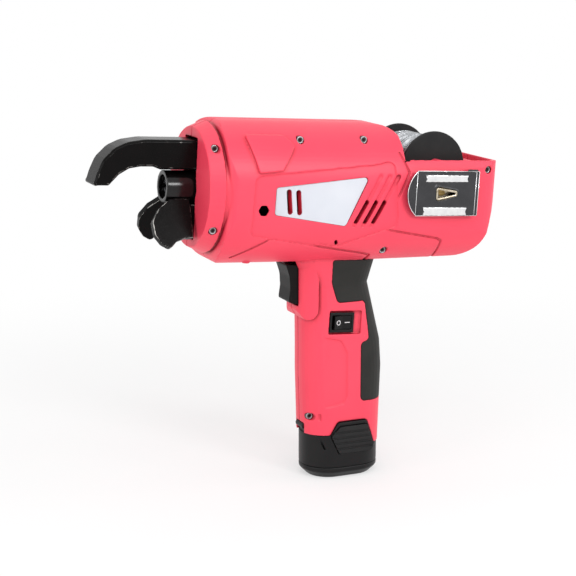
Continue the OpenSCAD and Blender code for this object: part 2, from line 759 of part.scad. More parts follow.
module rocker() color([0.08, 0.08, 0.09]) at_rocker() translate([bezel_x, pocket_y - rocker_sink, 0]) {
  translate([0, 0, -rocker_h / 2]) rotate([0, 0, rocker_rest]) linear_extrude(height = rocker_h)
    polygon(placed(rocker_shares, rocker_size, [0, 0]));
  translate([0, 0, fit - body_h / 2]) cylinder(h = body_h - 2 * fit, r = rocker_pin_r);
}

// upper jaw, guide sleeve and lower guides
jaw_back = 11;
jaw_out = 95;
jaw_root = barrel_front - jaw_back;
jaw_reach = barrel_front + jaw_out;
jaw_top = 40.4;
jaw_gap = 1.7;
jaw_seat = nose_z + sleeve_r + jaw_gap;
jaw_tip_r = 1.5;
jaw_heel_share = 0.75;
jaw_shares = [[0.811, 1], [0.877, 0.946], [0.925, 0.829], [0.967, 0.606], [0.988, 0.347], [1, 0.114],
  [0.943, 0.114], [0.906, 0.322], [0.868, 0.441], [0.825, 0.48], [0.778, 0.48]];
jaw_outline = concat([[jaw_root, jaw_top]], placed(jaw_shares, [jaw_reach, jaw_top], [0, 0]),
  [[jaw_heel_share * jaw_reach, jaw_seat], [jaw_root, jaw_seat]]);
jaw_rads = [1, 0, 0, 0, 0, 0, jaw_tip_r, jaw_tip_r, 0, 0, 0, 0, 0, 1];
tube_r = 2.2;
tube_bore = 1.2;
groove_in = 18;
groove_start = jaw_root + groove_in;
groove_half = 3;
groove_shares = [[0.821, 0.817], [0.877, 0.73], [0.925, 0.52], [0.957, 0.1], [0.929, -0.12], [0.906, 0.322],
  [0.868, 0.441], [0.825, 0.48], [0.778, 0.446], [0.75, 0.396]];
module upper_jaw() color(black_color) at_barrel() difference() {
  along_y(jaw_w) polygon(rounded(jaw_outline, jaw_rads));
  along_y(jaw_groove) polygon(concat([[groove_start, wire_z + groove_half]],
    placed(groove_shares, [jaw_reach, jaw_top], [0, 0]), [[groove_start, wire_z - groove_half]]));
  rod_x([jaw_root - over, 0, wire_z], tube_bore, groove_start - jaw_root + 2 * over);
  rod_y([jaw_screw[0], -jaw_w, jaw_screw[1]], screw_r + fit, 2 * jaw_w);
}
sleeve_out = 36;
sleeve_front = barrel_front + sleeve_out;
sleeve_bore = 9.5;
sleeve_rim = 0.8;
sleeve_rim_l = 2.5;
plate_back = 20;
plate_x = barrel_front - plate_back;
plate_t = 6;
plate_front = plate_x + plate_t;
module guide_sleeve() color(black_color) at_barrel() difference() {
  union() {
    rod_x([plate_front + fit, 0, nose_z], sleeve_r, sleeve_front - plate_front - fit);
    rod_x([plate_front + fit, 0, nose_z], sleeve_r + sleeve_rim, sleeve_rim_l);
  }
  rod_x([plate_x, 0, nose_z], sleeve_bore, sleeve_front);
}
guide_out = 49;
guide_drop = 42;
guide_size = [barrel_front + guide_out, guide_drop];
guide_shares = [[0.807, -0.048], [0.904, -0.048], [0.964, -0.238], [1, -0.476], [0.994, -0.738],
  [0.964, -0.905], [0.922, -1], [0.889, -0.857], [0.843, -0.798], [0.807, -0.798]];
guide_rads = [0, 3, 5, 6, 6, 5, 3, 3, 1, 0];
guide_t = 6;
guide_y = 5.5;
guide_z = -6;
guide_back = 5;
guide_root = barrel_front - guide_back;
guide_root_l = 23.5;
guide_low = -36.5;
guide_root_h = 26.5;
module left_guide() color(black_color) at_barrel() difference() {
  union() {
    translate([guide_root, guide_y, guide_low]) cube([guide_root_l, jaw_w / 2 - guide_y, guide_root_h]);
    translate([0, guide_y + fit, guide_z]) rotate([guide_flare, 0, 0]) out_of_side(0, guide_t)
      polygon(rounded(placed(guide_shares, guide_size, [0, 0]), guide_rads));
  }
  rod_x([plate_x, 0, nose_z], sleeve_r + fit, 2 * sleeve_front);
  rod_y([guide_screw[0], 0, guide_screw[1]], screw_r + fit, 2 * jaw_w);
}
module right_guide() mirror([0, 1, 0]) left_guide();

// twist drive on the nose axis
bearing_r = 10;
shaft_r = 4;
hub_r = 6;
hub_gap = 1;
hook_out = 19;
hub_end = plate_x - hub_gap;
hook_x = barrel_front + hook_out;
hook_r = 8;
hook_base = 4;
hook_slot = 3.5;
prong_l = 9;
module at_nose() at_barrel() translate([0, 0, nose_z]) children();
module nose_plate() color(steel_color) at_barrel() difference() {
  rod_x([plate_x, 0, nose_z], nose_bore_r - fit, plate_t);
  rod_x([plate_x - over, 0, nose_z], bearing_r + fit, plate_t + 2 * over);
  rod_x([plate_x - over, 0, wire_z], tube_r + fit, plate_t + 2 * over);
}
module nose_bearing() color(steel_color) at_nose() difference() {
  rod_x([plate_x, 0, 0], bearing_r, plate_t);
  rod_x([plate_x - over, 0, 0], shaft_r + run, plate_t + 2 * over);
}
module twist_hook() color(steel_color) at_nose() {
  rod_x([hub_end + fit, 0, 0], shaft_r, hook_x - hub_end);
  difference() {
    rod_x([hook_x, 0, 0], hook_r, hook_base + prong_l);
    translate([hook_x + hook_base, -hook_r, -hook_slot / 2]) cube([prong_l + over, 2 * hook_r, hook_slot]);
    rod_x([hook_x + hook_base, 0, 0], hook_r / 2, prong_l + over);
  }
}

// involute gear outline: teeth, module, tip and root heights, flank shift
gear_angle = 25;
tip_share = 0.8;
root_share = 1.1;
function inv(a) = tan(a) * 180 / PI - a;
function flank(z, m, r, shift) =
  let (rp = z * m / 2, rb = rp * cos(gear_angle))
  90 / z - shift / rp * 90 / PI + inv(gear_angle) - (r > rb ? inv(acos(rb / r)) : 0);
function tooth(z, m, rt, rr, shift) =
  let (rb = max(rr, z * m / 2 * cos(gear_angle)))
  let (rad = [rr, rb, rb + (rt - rb) / 3, rb + (rt - rb) * 2 / 3, rt])
  concat([for (r = rad) [r, -flank(z, m, r, shift)]],
    [for (i = [4:-1:0]) [rad[i], flank(z, m, rad[i], shift)]]);
function gear_points(z, m, tip, root, shift) =
  let (t = tooth(z, m, z * m / 2 + tip * m, z * m / 2 - root * m, shift))
  [for (k = [0:z - 1]) for (p = t) p[0] * [cos(p[1] + k * 360 / z), sin(p[1] + k * 360 / z)]];
module gear_2d(z, m, turn_by) rotate(turn_by) polygon(gear_points(z, m, tip_share, root_share, backlash / 2));

sun_teeth = 12;
planet_teeth = 15;
planet_count = 3;
planet_step = 360 / planet_count;
ring_teeth = sun_teeth + 2 * planet_teeth;
planet_at = (sun_teeth + planet_teeth) * twist_module / 2;
case_r = 24.5;
case_l = 31;
case_back = plate_x - case_l;
case_front = plate_x - fit;
teeth_in = 2;
teeth_x = case_back + teeth_in;
teeth_l = 12;
carrier_gap = 3;
carrier_x = teeth_x + teeth_l + carrier_gap;
carrier_t = 4;
carrier_r = 18;
pin_r = 2;
motor_r = 18.5;
back_plate_t = 8;
motor_front = case_back - back_plate_t;
motor_boss_r = 5.5;
motor_boss_l = 3;
motor_wall = 2;
motor_shaft_r = 2;
module gear_case() color(motor_color) at_nose() difference() {
  rod_x([case_back, 0, 0], case_r, case_front - case_back);
  translate([case_back - over, 0, 0]) along_x(carrier_x - case_back + over)
    polygon(gear_points(ring_teeth, twist_module, root_share, tip_share, -backlash / 2));
  rod_x([carrier_x - clear, 0, 0], carrier_r + clear, carrier_t + 2 * clear);
  rod_x([carrier_x, 0, 0], hub_r + run, case_front);
}
module gear_back_plate() color(steel_color) at_nose() difference() {
  rod_x([motor_front + fit, 0, 0], case_r, case_back - motor_front - 2 * fit);
  rod_x([motor_front, 0, 0], motor_boss_r + fit, case_back);
}
module planet_carrier() color(steel_color) at_nose() {
  rod_x([carrier_x, 0, 0], carrier_r, carrier_t);
  rod_x([carrier_x + carrier_t - over, 0, 0], hub_r, hub_end - carrier_x - carrier_t + over);
  for (k = [0:planet_count - 1]) rotate([k * planet_step, 0, 0])
    rod_x([teeth_x, planet_at, 0], pin_r, carrier_x - teeth_x + over);
}
module planet(a) color(brass_color) at_nose() rotate([a, 0, 0]) translate([teeth_x, planet_at, 0])
  difference() {
    along_x(teeth_l) gear_2d(planet_teeth, twist_module, 180 + 180 / planet_teeth);
    rod_x([-over, 0, 0], pin_r + run, teeth_l + 2 * over);
  }
module planet_a() planet(0);
module planet_b() planet(planet_step);
module planet_c() planet(2 * planet_step);
module sun_gear() color(brass_color) at_nose() translate([teeth_x, 0, 0]) difference() {
  along_x(teeth_l) gear_2d(sun_teeth, twist_module, 0);
  rod_x([-over, 0, 0], motor_shaft_r + fit, teeth_l + 2 * over);
}
module twist_motor() color(motor_color) at_nose() difference() {
  union() {
    rod_x([motor_back, 0, 0], motor_r, motor_front - motor_back);
    rod_x([motor_front - over, 0, 0], motor_boss_r, motor_boss_l + over);
  }
  rod_x([motor_back + motor_wall, 0, 0], motor_shaft_r + run, motor_front);
}
module twist_motor_shaft() color(steel_color) at_nose()
  rod_x([motor_back + motor_wall + clear, 0, 0], motor_shaft_r,
    teeth_x + teeth_l - motor_back - motor_wall - clear);

// wire feed above and behind the twist motor
feed_teeth = 24;
pinion_teeth = 12;
feed_r = feed_teeth * feed_module / 2;
pinion_x = -18;
pinion_y = 2.1;
feed_run = (feed_teeth + pinion_teeth) * feed_module / 2;
feed_aside = feed_r - pinion_y;
feed_x = pinion_x + sqrt(feed_run * feed_run - feed_aside * feed_aside);
pinion_turn = atan2(feed_aside, feed_x - pinion_x);
motor_gap = 2.1;
motor_back = feed_x + feed_r + motor_gap;
gear_low = 14.5;
gear_t = 5;
roller_low = 22.5;
roller_gap = 0.7;
wire_gap = 1;
knurl_count = 18;
knurl_r = 0.5;
axle_r = 2;
axle_collar = 4;
frame_low = 10.5;
frame_t = 2.5;
frame_top_t = 1.5;
axle_top = feed_screw[1] - boss_r - clear - frame_top_t;
roller_t = axle_top - roller_low - roller_gap;
wire_z = roller_low + roller_t / 2;
frame_l = 27;
frame_back = 12;
frame_top_back = 2;
frame_side = 46;
frame_hole_r = 4;
feed_motor_r = 13;
feed_motor_foot = 5.7;
feed_shaft_r = 1.5;
feed_wall = 3;
feed_motor_top = frame_low - fit;
feed_motor_low = heel_screw[1] + boss_r + feed_motor_foot;
feed_motor_l = feed_motor_top - feed_motor_low;
frame_half = inside_at(frame_low + frame_t) - clear;
module feed_wheel(turn_by) difference() {
  union() {
    translate([0, 0, gear_low]) linear_extrude(height = gear_t) gear_2d(feed_teeth, feed_module, turn_by);
    translate([0, 0, gear_low + gear_t - over])
      cylinder(h = roller_low - gear_low - gear_t + 2 * over, r = axle_collar);
    translate([0, 0, roller_low]) difference() {
      cylinder(h = roller_t, r = feed_r - wire_gap / 2);
      for (k = [0:knurl_count - 1]) rotate(k * 360 / knurl_count) translate([feed_r - wire_gap / 2, 0, -over])
        cylinder(h = roller_t + 2 * over, r = knurl_r, $fn = 4);
    }
  }
  translate([0, 0, gear_low - over]) cylinder(h = barrel_h, r = axle_r + run);
}
module feed_roller() color(steel_color) at_barrel() translate([feed_x, feed_r, 0])
  feed_wheel(180 + pinion_turn + 180 / feed_teeth);
module feed_idler() color(steel_color) at_barrel() translate([feed_x, -feed_r, 0]) feed_wheel(-pinion_turn);
module feed_pinion() color(brass_color) at_barrel() translate([pinion_x, pinion_y, 0]) {
  translate([0, 0, gear_low]) linear_extrude(height = gear_t)
    gear_2d(pinion_teeth, feed_module, pinion_turn);
  translate([0, 0, feed_motor_low + feed_wall + clear])
    cylinder(h = gear_low - feed_motor_low - feed_wall - clear + over, r = feed_shaft_r);
}
module feed_motor() color(motor_color) at_barrel() translate([pinion_x, pinion_y, feed_motor_low])
  difference() {
    cylinder(h = feed_motor_l, r = feed_motor_r);
    translate([0, 0, feed_wall]) cylinder(h = barrel_h, r = feed_shaft_r + run);
  }
module feed_frame() color(steel_color) at_barrel() {
  difference() {
    union() {
      translate([pinion_x - frame_back, -frame_half, frame_low]) cube([frame_l, 2 * frame_half, frame_t]);
      translate([pinion_x + frame_top_back, -frame_side / 2, axle_top])
        cube([frame_l - frame_back - frame_top_back, frame_side, frame_top_t]);
      for (s = [-1, 1])
        translate([pinion_x + frame_top_back, s * (frame_side - frame_t) / 2 - frame_t / 2, frame_low])
          cube([frame_l - frame_back - frame_top_back, frame_t, axle_top + frame_top_t - frame_low]);
    }
    translate([pinion_x, pinion_y, 0]) cylinder(h = frame_low + 2 * frame_t, r = frame_hole_r);
  }
  for (s = [-1, 1]) translate([feed_x, s * feed_r, frame_low])
    cylinder(h = axle_top - frame_low + fit, r = axle_r);
}
tube_gap = 1.5;
tube_x = feed_x + feed_r + tube_gap;
module wire_tube() color(steel_color) at_barrel() difference() {
  rod_x([tube_x, 0, wire_z], tube_r, plate_front - tube_x);
  rod_x([tube_x - over, 0, wire_z], tube_bore, plate_front);
}
// sliding blade between the nose plate and the jaw root
blade_gap = 0.3;
blade_t = jaw_root - plate_front - 2 * blade_gap;
blade_h = 8;
blade_l = 10;
blade_y = 3;
module cutter_blade() color(steel_color) at_barrel()
  translate([plate_front + blade_gap, blade_y, wire_z - blade_h / 2]) cube([blade_t, blade_l, blade_h]);

// board with its chips and capacitors
board_gap = 3;
board_l = plate_x - board_x - board_gap;
chip_size = [9, 12, 3];
chip_count = 4;
chip_gap = 3;
chip_pitch = board_l / chip_count - chip_gap;
chip_y = -20;
can_r = 4;
can_h = 7;
can_count = 3;
can_gap = 4;
can_pitch = board_l / can_count - can_gap;
can_y = 10;
module control_board() color([0.1, 0.35, 0.2]) at_barrel() translate([board_x, 0, board_z]) {
  translate([0, -board_w / 2, 0]) cube([board_l, board_w, board_t]);
  for (i = [0:chip_count - 1])
    translate([chip_size[0] + i * chip_pitch, chip_y, board_t - fit]) cube(chip_size);
  for (i = [0:can_count - 1])
    translate([can_pitch / 2 + i * can_pitch, can_y, board_t - fit]) cylinder(h = can_h, r = can_r);
}

// reel with its wound wire
flange_t = 2.5;
spool_run = 0.08;
spool_core_r = 13;
module at_reel() at_barrel() translate([reel_x, 0, reel_z]) children();
module reel_spool() color(black_color) at_reel() difference() {
  union() {
    for (s = [-1, 1]) rod_y([0, s * (reel_w - flange_t) / 2 - flange_t / 2, 0], reel_r, flange_t);
    rod_y([0, over - reel_w / 2, 0], spool_core_r, reel_w - 2 * over);
  }
  rod_y([0, -reel_w, 0], spindle_r + spool_run, 2 * reel_w);
}
module wire_core() color(steel_color) at_reel() difference() {
  rod_y([0, flange_t + fit - reel_w / 2, 0], wire_core_r, reel_w - 2 * flange_t - 2 * fit);
  rod_y([0, -reel_w, 0], spool_core_r + fit, 2 * reel_w);
}
ring_steps = 24;
tube_sides = 6;
wind_r = (wire_core_r + fit) / cos(180 / ring_steps) + wire_d / 2;
wind_span = reel_w - 2 * flange_t - 2 * wire_d;
wind_pitch = wind_span / wire_loops;
wind_rings = wire_loops * ring_steps;
function wind_mid(i) = let (a = i * 360 / ring_steps)
  [wind_r * cos(a), -wind_span / 2 + wind_pitch * i / ring_steps, wind_r * sin(a)];
wind_points = [for (i = [0:wind_rings]) let (a = i * 360 / ring_steps, c = wind_mid(i))
  for (j = [0:tube_sides - 1]) let (t = j * 360 / tube_sides)
    c + wire_d / 2 * [cos(t) * cos(a), sin(t), cos(t) * sin(a)]];
wind_faces = concat(
  [[for (j = [0:tube_sides - 1]) j]],
  [for (i = [0:wind_rings - 1]) for (j = [0:tube_sides - 1]) for (k = [0, 1])
    let (p = i * tube_sides + j, q = i * tube_sides + (j + 1) % tube_sides)
    k == 0 ? [p, p + tube_sides, q] : [q, p + tube_sides, q + tube_sides]],
  [[for (j = [tube_sides - 1:-1:0]) wind_rings * tube_sides + j]]);
wind_gap = min([for (i = [0:ring_steps]) norm(wind_mid(i + ring_steps) - wind_mid(i))]) - wire_d;
echo(wire_winding_gap = wind_gap);
module wire_winding() color([0.75, 0.76, 0.78]) at_reel()
  polyhedron(points = wind_points, faces = wind_faces, convexity = 10);
module reel_spindle() color(steel_color) at_reel()
  rod_y([0, fit - spindle_reach, 0], spindle_r, 2 * spindle_reach - 2 * fit);

// battery: cap, case with its stick, cells, contacts and release buttons
cap_h = 10;
foot_r = 24;
foot_bevel = 6;
cell_l = 65;
cell_low = 14;
case_wall = 2.6;
slit_shares = [[0.8, 0.8], [0.63, 0.533]];
slit_w = 1.2;
slit_back = 6;
tongue_in = 0.2;
tongue_foot = 12;
module cell_space(low, h)
  translate([0, 0, low]) linear_extrude(height = h) rrect(cell_space_l, cell_space_w, cell_space_w / 2 - fit);
module foot_solid() {
  translate([0, 0, foot_bevel]) linear_extrude(height = rim_notch) rrect(battery_l, battery_w, foot_r);
  hull() {
    linear_extrude(height = slice)
      rrect(battery_l - 2 * foot_bevel, battery_w - 2 * foot_bevel, foot_r - foot_bevel, $fn = loft_fn);
    translate([0, 0, foot_bevel]) linear_extrude(height = slice)
      rrect(battery_l, battery_w, foot_r, $fn = loft_fn);
  }
}
button_at = [-3, 33.6];
button_size = [19.5, 11.6];
button_shares = [[1, 0.33], [0.59, 1], [-0.64, 1], [-1, -0.57], [-0.846, -1], [0.64, -1]];
button_corner = 2;
button_t = 4.5;
button_proud = 1;
button_back = battery_w / 2 + button_proud - button_t;
rib_count = 4;
rib_pitch = 4.6;
rib_gap = 1.8;
rib_deep = 1.2;
rib_low = 25.5;
button_spring_r = 3;
button_spring_wire = 0.8;
pocket_back = button_back - button_travel - clear;
module button_2d(gap)
  polygon(evenly(placed(button_shares, button_size + [gap, gap], button_at), button_corner));
module battery_case() color(black_color) difference() {
  union() {
    intersection() {
      foot_solid();
      along_y(2 * barrel_w) polygon(rim_outline(cap_h + fit, clear));
    }
    translate([0, 0, cap_h + over]) linear_extrude(height = stick_top - cap_h - over)
      rrect(stick_l, stick_w, stick_r);
    rod_y([battery_l / 2 - tongue_in, -tongue_w / 2, tongue_z], tongue_r, tongue_w);
    translate([stick_l / 2 - over, -tongue_w / 2, tongue_z - tongue_foot])
      cube([battery_lip + over - tongue_r / 2, tongue_w, tongue_foot]);
  }
  cell_space(cap_h - over, stick_top - cap_h + over - case_wall);
  both_sides() {
    out_of_side(pocket_back, battery_w) button_2d(clear);
    out_of_side(battery_w / 2 - slit_back, battery_w) line_2d(placed(slit_shares, rim_size, [0, 0]), slit_w);
  }
}
module battery_cap() color(black_color) difference() {
  intersection() {
    foot_solid();
    translate([-battery_l, -battery_w, 0]) cube([2 * battery_l, 2 * battery_w, cap_h]);
  }
  cell_space(case_wall, cap_h);
}
module battery_cells() color([0.2, 0.45, 0.7])
  for (i = [-1, 0, 1]) translate([i * (2 * cell_r + fit / 2), 0, cell_low])
    cylinder(h = cell_l, r = cell_r - fit / 2);
contact_size = [8, 2, 7];
contact_pitch = 14;
contact_gap = 1;
module battery_contacts() color(brass_color)
  for (i = [-1, 0, 1])
    translate([i * contact_pitch - contact_size[0] / 2, -contact_size[1] / 2, stick_top + fit])
      cube(contact_size);
module left_button() color(black_color) difference() {
  out_of_side(button_back, button_t) button_2d(0);
  for (k = [0:rib_count - 1])
    translate([-battery_l / 2, battery_w / 2 + button_proud - rib_deep, rib_low + k * rib_pitch])
      cube([battery_l, wall, rib_gap]);
}
module right_button() mirror([0, 1, 0]) left_button();
module left_button_spring() color(steel_color) translate([button_at[0], 0, button_at[1]]) difference() {
  rod_y([0, pocket_back + fit, 0], button_spring_r, button_travel + clear - 2 * fit);
  rod_y([0, 0, 0], button_spring_r - button_spring_wire, battery_w);
}
module right_button_spring() mirror([0, 1, 0]) left_button_spring();
module terminal_block() color([0.16, 0.16, 0.18]) difference() {
  translate([0, 0, stick_top + block_gap]) linear_extrude(height = block_h) rrect(stick_l, stick_w, stick_r);
  for (i = [-1, 0, 1])
    translate([i * contact_pitch - contact_size[0] / 2 - contact_gap,
      -contact_size[1] / 2 - contact_gap, stick_top])
      cube(contact_size + [2 * contact_gap, 2 * contact_gap, 2 * contact_gap]);
}

left_housing();
right_housing();
housing_screws();
side_label();
left_grip();
right_grip();
belt_clip();
clip_screw();
trigger();
trigger_spring();
trigger_switch();
rocker_frame();
rocker();
upper_jaw();
guide_sleeve();
left_guide();
right_guide();
nose_plate();
nose_bearing();
twist_hook();
gear_case();
gear_back_plate();
planet_carrier();
planet_a();
planet_b();
planet_c();
sun_gear();
twist_motor();
twist_motor_shaft();
feed_frame();
feed_motor();
feed_pinion();
feed_roller();
feed_idler();
wire_tube();
cutter_blade();
control_board();
reel_spool();
wire_core();
wire_winding();
reel_spindle();
battery_case();
battery_cap();
battery_cells();
battery_contacts();
left_button();
right_button();
left_button_spring();
right_button_spring();
terminal_block();
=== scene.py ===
"""Dresses the cordless rebar tying tool and sets it in a bright studio at the photograph's angle."""

import json
import logging
import math
from dataclasses import dataclass
from enum import Enum
from functools import cache
from typing import Callable, Sequence

import bmesh
import bpy
from mathutils import Matrix, Vector

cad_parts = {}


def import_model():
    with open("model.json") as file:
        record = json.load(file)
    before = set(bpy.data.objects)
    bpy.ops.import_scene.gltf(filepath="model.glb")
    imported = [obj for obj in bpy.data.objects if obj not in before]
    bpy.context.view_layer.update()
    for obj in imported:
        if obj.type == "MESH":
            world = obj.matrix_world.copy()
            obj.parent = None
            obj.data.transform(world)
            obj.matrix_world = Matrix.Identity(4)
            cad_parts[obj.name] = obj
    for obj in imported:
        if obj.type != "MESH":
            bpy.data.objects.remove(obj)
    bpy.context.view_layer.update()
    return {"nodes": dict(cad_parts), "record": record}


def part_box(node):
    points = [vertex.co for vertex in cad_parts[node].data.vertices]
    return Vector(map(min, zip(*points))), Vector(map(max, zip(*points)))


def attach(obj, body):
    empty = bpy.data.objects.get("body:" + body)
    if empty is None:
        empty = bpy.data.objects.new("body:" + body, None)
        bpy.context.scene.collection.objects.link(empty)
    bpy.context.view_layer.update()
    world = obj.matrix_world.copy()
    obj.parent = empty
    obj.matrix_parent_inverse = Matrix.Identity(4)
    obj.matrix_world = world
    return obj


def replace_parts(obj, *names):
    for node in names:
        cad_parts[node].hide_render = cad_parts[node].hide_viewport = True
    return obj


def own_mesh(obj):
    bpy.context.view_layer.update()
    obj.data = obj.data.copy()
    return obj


LOG = logging.getLogger("rebar_tier")
MM = 0.001
WHITE = "ffffff"
HEX_SIDES = 6
# Points closer than this are one point, in millimetres.
MERGE_MM = 0.001
# Turns a shape that stands along Z so that it faces the side, along Y.
FACING_SIDE = Matrix.Rotation(math.radians(90), 4, "X")

# Nearly all values of a noise lie in this range.
NOISE_RANGE = (0.3, 0.7)
DRIFT_DETAIL = 2.0
GRAIN_DETAIL = 3.0
# Share of open sky over a point: all the painted shade colour at the first, none at the second.
PAINTED_SHADE_RANGE = (0.5, 0.97)
PAINTED_SHADE_SAMPLES = 8
COAT_ROUGHNESS = 0.12

# The worn paint: the mesh layer, how strongly it marks an edge, and the patches that break it up.
WEAR = "wear"
WEAR_GAIN = 5
WEAR_PATCH_MM = 6.0
WEAR_PATCH_RANGE = (0.2, 1.5)
# Wear at which the paint starts to go, and at which it is gone.
WEAR_RANGE = (0.36, 0.7)
BARE_STEEL = "a9a6a2"
BARE_ROUGHNESS = 0.32

BMesh = bmesh.types.BMesh
Mesh = bpy.types.Mesh
Node = bpy.types.Node
Object = bpy.types.Object
Socket = bpy.types.NodeSocket
Tree = bpy.types.NodeTree
Nodes = dict[str, Object]
Color = tuple[float, float, float, float]
Point = tuple[float, float, float]
Value = Socket | Color | Point | float
Inputs = dict[str | int, Value]


def linear(hex_color: str) -> Color:
    """Turns an sRGB hex colour into linear RGBA.

    Args:
        hex_color: Six hex digits, such as "ef4a60".

    Returns:
        The colour in linear light, with alpha 1.
    """
    values = [int(hex_color[i:i + 2], 16) / 255 for i in (0, 2, 4)]
    return (*[v / 12.92 if v <= 0.04045 else ((v + 0.055) / 1.055) ** 2.4 for v in values], 1.0)


def add_node(tree: Tree, kind: str, inputs: Inputs | None = None, **settings: str | int) -> Node:
    """Adds a shader node, with its settings and inputs.

    Args:
        tree: The node tree.
        kind: Blender's name for the node type.
        inputs: Input name or number to a value or an output socket.
        settings: Properties of the node, such as its operation.

    Returns:
        The new node.
    """
    node = tree.nodes.new(kind)
    for name, setting in settings.items():
        setattr(node, name, setting)
    for key, value in (inputs or {}).items():
        if isinstance(value, Socket):
            tree.links.new(value, node.inputs[key])
        else:
            node.inputs[key].default_value = value
    return node


class Kind(Enum):
    """How a finish answers to light and wear."""

    PLASTIC = "plastic"
    METAL = "metal"
    WORN_PAINT = "worn paint"


@dataclass(frozen=True)
class Finish:
    """A procedural surface finish; its pattern sizes are real millimetres.

    Attributes:
        name: Name of the material.
        kind: How the surface answers to light and wear.
        color: Main sRGB colour.
        tint: Second sRGB colour that drifts through the first.
        roughness: Middle roughness.
        spread: How far the roughness drifts either way.
        grain_mm: Size of the surface grain.
        depth_mm: Height of the surface grain.
        drift_mm: Size of the patches of tint.
        stretch: Stretch of the grain along X, for brushed metal.
        specular: Strength of the mirror-like shine on what isn't metal.
        coat: Weight of a clear top coat.
        painted_shade: The sRGB colour of the painted shade in grooves and corners, or nothing.
        painted_shade_mm: How far from a wall the painted shade reaches.
    """

    name: str
    kind: Kind
    color: str
    tint: str
    roughness: float
    spread: float = 0.06
    grain_mm: float = 0.5
    depth_mm: float = 0.01
    drift_mm: float = 12.0
    stretch: float = 1.0
    specular: float = 0.2
    coat: float = 0.0
    painted_shade: str = ""
    painted_shade_mm: float = 4.0

    @cache
    def material(self) -> bpy.types.Material:
        """Makes the material once.

        Returns:
            The material with its node tree filled in.
        """
        material = bpy.data.materials.new(self.name)
        material.use_nodes = True
        Painter(material.node_tree, self).paint()
        return material


class Painter:
    """Fills the node tree of one material."""

    def __init__(self, tree: Tree, finish: Finish) -> None:
        """Keeps the tree and its main nodes at hand.

        Args:
            tree: The material's node tree.
            finish: What it should look like.
        """
        self.finish = finish
        self.tree = tree
        self.shader = tree.nodes["Principled BSDF"]
        self.place = add_node(tree, "ShaderNodeTexCoord").outputs["Object"]

    def noise(self, size_mm: float, detail: float, stretch: float = 1.0) -> Socket:
        """Adds a noise whose features have a real size.

        Args:
            size_mm: Size of a feature in millimetres.
            detail: Octaves of finer noise.
            stretch: How much longer a feature is along X.

        Returns:
            The noise's value, about 0.3 to 0.7.
        """
        shrunk = {"Vector": self.place, "Scale": (1 / stretch, 1, 1)}
        place = add_node(self.tree, "ShaderNodeMapping", shrunk).outputs[0]
        sizes = {"Vector": place, "Scale": 1 / (size_mm * MM), "Detail": detail}
        return add_node(self.tree, "ShaderNodeTexNoise", sizes).outputs[0]

    def mapped(self, value: Socket, start: float, end: float, low: Value, high: Value) -> Socket:
        """Maps a value from one range onto another.

        Args:
            value: The value.
            start: Where the first range starts.
            end: Where the first range ends.
            low: Result at the start.
            high: Result at the end.

        Returns:
            The mapped value.
        """
        ends = {"Value": value, "From Min": start, "From Max": end, "To Min": low, "To Max": high}
        return add_node(self.tree, "ShaderNodeMapRange", ends).outputs[0]

    def mix(self, factor: Socket, a: Value, b: Value) -> Socket:
        """Mixes two colours.

        Args:
            factor: Share of the second colour.
            a: First colour or socket.
            b: Second colour or socket.

        Returns:
            The mixed colour.
        """
        ends = {0: factor, 6: a, 7: b}
        return add_node(self.tree, "ShaderNodeMix", ends, data_type="RGBA").outputs[2]

    def join(self, value: Socket, name: str) -> None:
        """Links a value to an input of the main shader.

        Args:
            value: The value.
            name: The shader's input.
        """
        self.tree.links.new(value, self.shader.inputs[name])

    def paint(self) -> None:
        """Adds colour drift, roughness drift and grain, then what the kind asks for."""
        finish = self.finish
        drift = self.mapped(self.noise(finish.drift_mm, DRIFT_DETAIL), *NOISE_RANGE, 0.0, 1.0)
        grain = self.noise(finish.grain_mm, GRAIN_DETAIL, finish.stretch)
        color = self.mix(drift, linear(finish.color), linear(finish.tint))
        # Painted shade: a darker red in grooves and corners, where less of the room's light reaches.
        if finish.painted_shade:
            color = self.mix(self.corners(), color, linear(finish.painted_shade))
        smooth, coarse = finish.roughness - finish.spread, finish.roughness + finish.spread
        rough = self.mapped(grain, *NOISE_RANGE, smooth, coarse)
        relief = {"Height": grain, "Strength": 1.0, "Distance": finish.depth_mm * MM}
        self.join(add_node(self.tree, "ShaderNodeBump", relief).outputs[0], "Normal")
        self.shader.inputs["Specular IOR Level"].default_value = finish.specular
        self.shader.inputs["Coat Weight"].default_value = finish.coat
        self.shader.inputs["Coat Roughness"].default_value = COAT_ROUGHNESS
        if finish.kind is Kind.METAL:
            self.shader.inputs["Metallic"].default_value = 1.0
        if finish.kind is Kind.WORN_PAINT:
            color, rough = self.wear(color, rough)
        self.join(color, "Base Color")
        self.join(rough, "Roughness")

    def corners(self) -> Socket:
        """Finds the grooves and corners, which see less of the sky, for the painted shade there.

        Returns:
            1 deep in a corner, 0 on an open face.
        """
        walls = {"Distance": self.finish.painted_shade_mm * MM}
        kind = "ShaderNodeAmbientOcclusion"
        clear = add_node(self.tree, kind, walls, samples=PAINTED_SHADE_SAMPLES).outputs["AO"]
        return self.mapped(clear, *PAINTED_SHADE_RANGE, 1.0, 0.0)

    def wear(self, color: Socket, rough: Socket) -> tuple[Socket, Socket]:
        """Lets bare steel show where the mesh says that an edge is rubbed.

        Args:
            color: Colour of the paint.
            rough: Roughness of the paint.

        Returns:
            Colour and roughness with the bare metal mixed in.
        """
        edge = add_node(self.tree, "ShaderNodeAttribute", attribute_name=WEAR).outputs["Fac"]
        patches = self.mapped(self.noise(WEAR_PATCH_MM, GRAIN_DETAIL), *NOISE_RANGE, *WEAR_PATCH_RANGE)
        both = {0: edge, 1: patches}
        rubbed = add_node(self.tree, "ShaderNodeMath", both, operation="MULTIPLY").outputs[0]
        bare = self.mapped(rubbed, *WEAR_RANGE, 0.0, 1.0)
        self.join(bare, "Metallic")
        worn_rough = self.mapped(bare, 0.0, 1.0, rough, BARE_ROUGHNESS)
        return self.mix(bare, color, linear(BARE_STEEL)), worn_rough
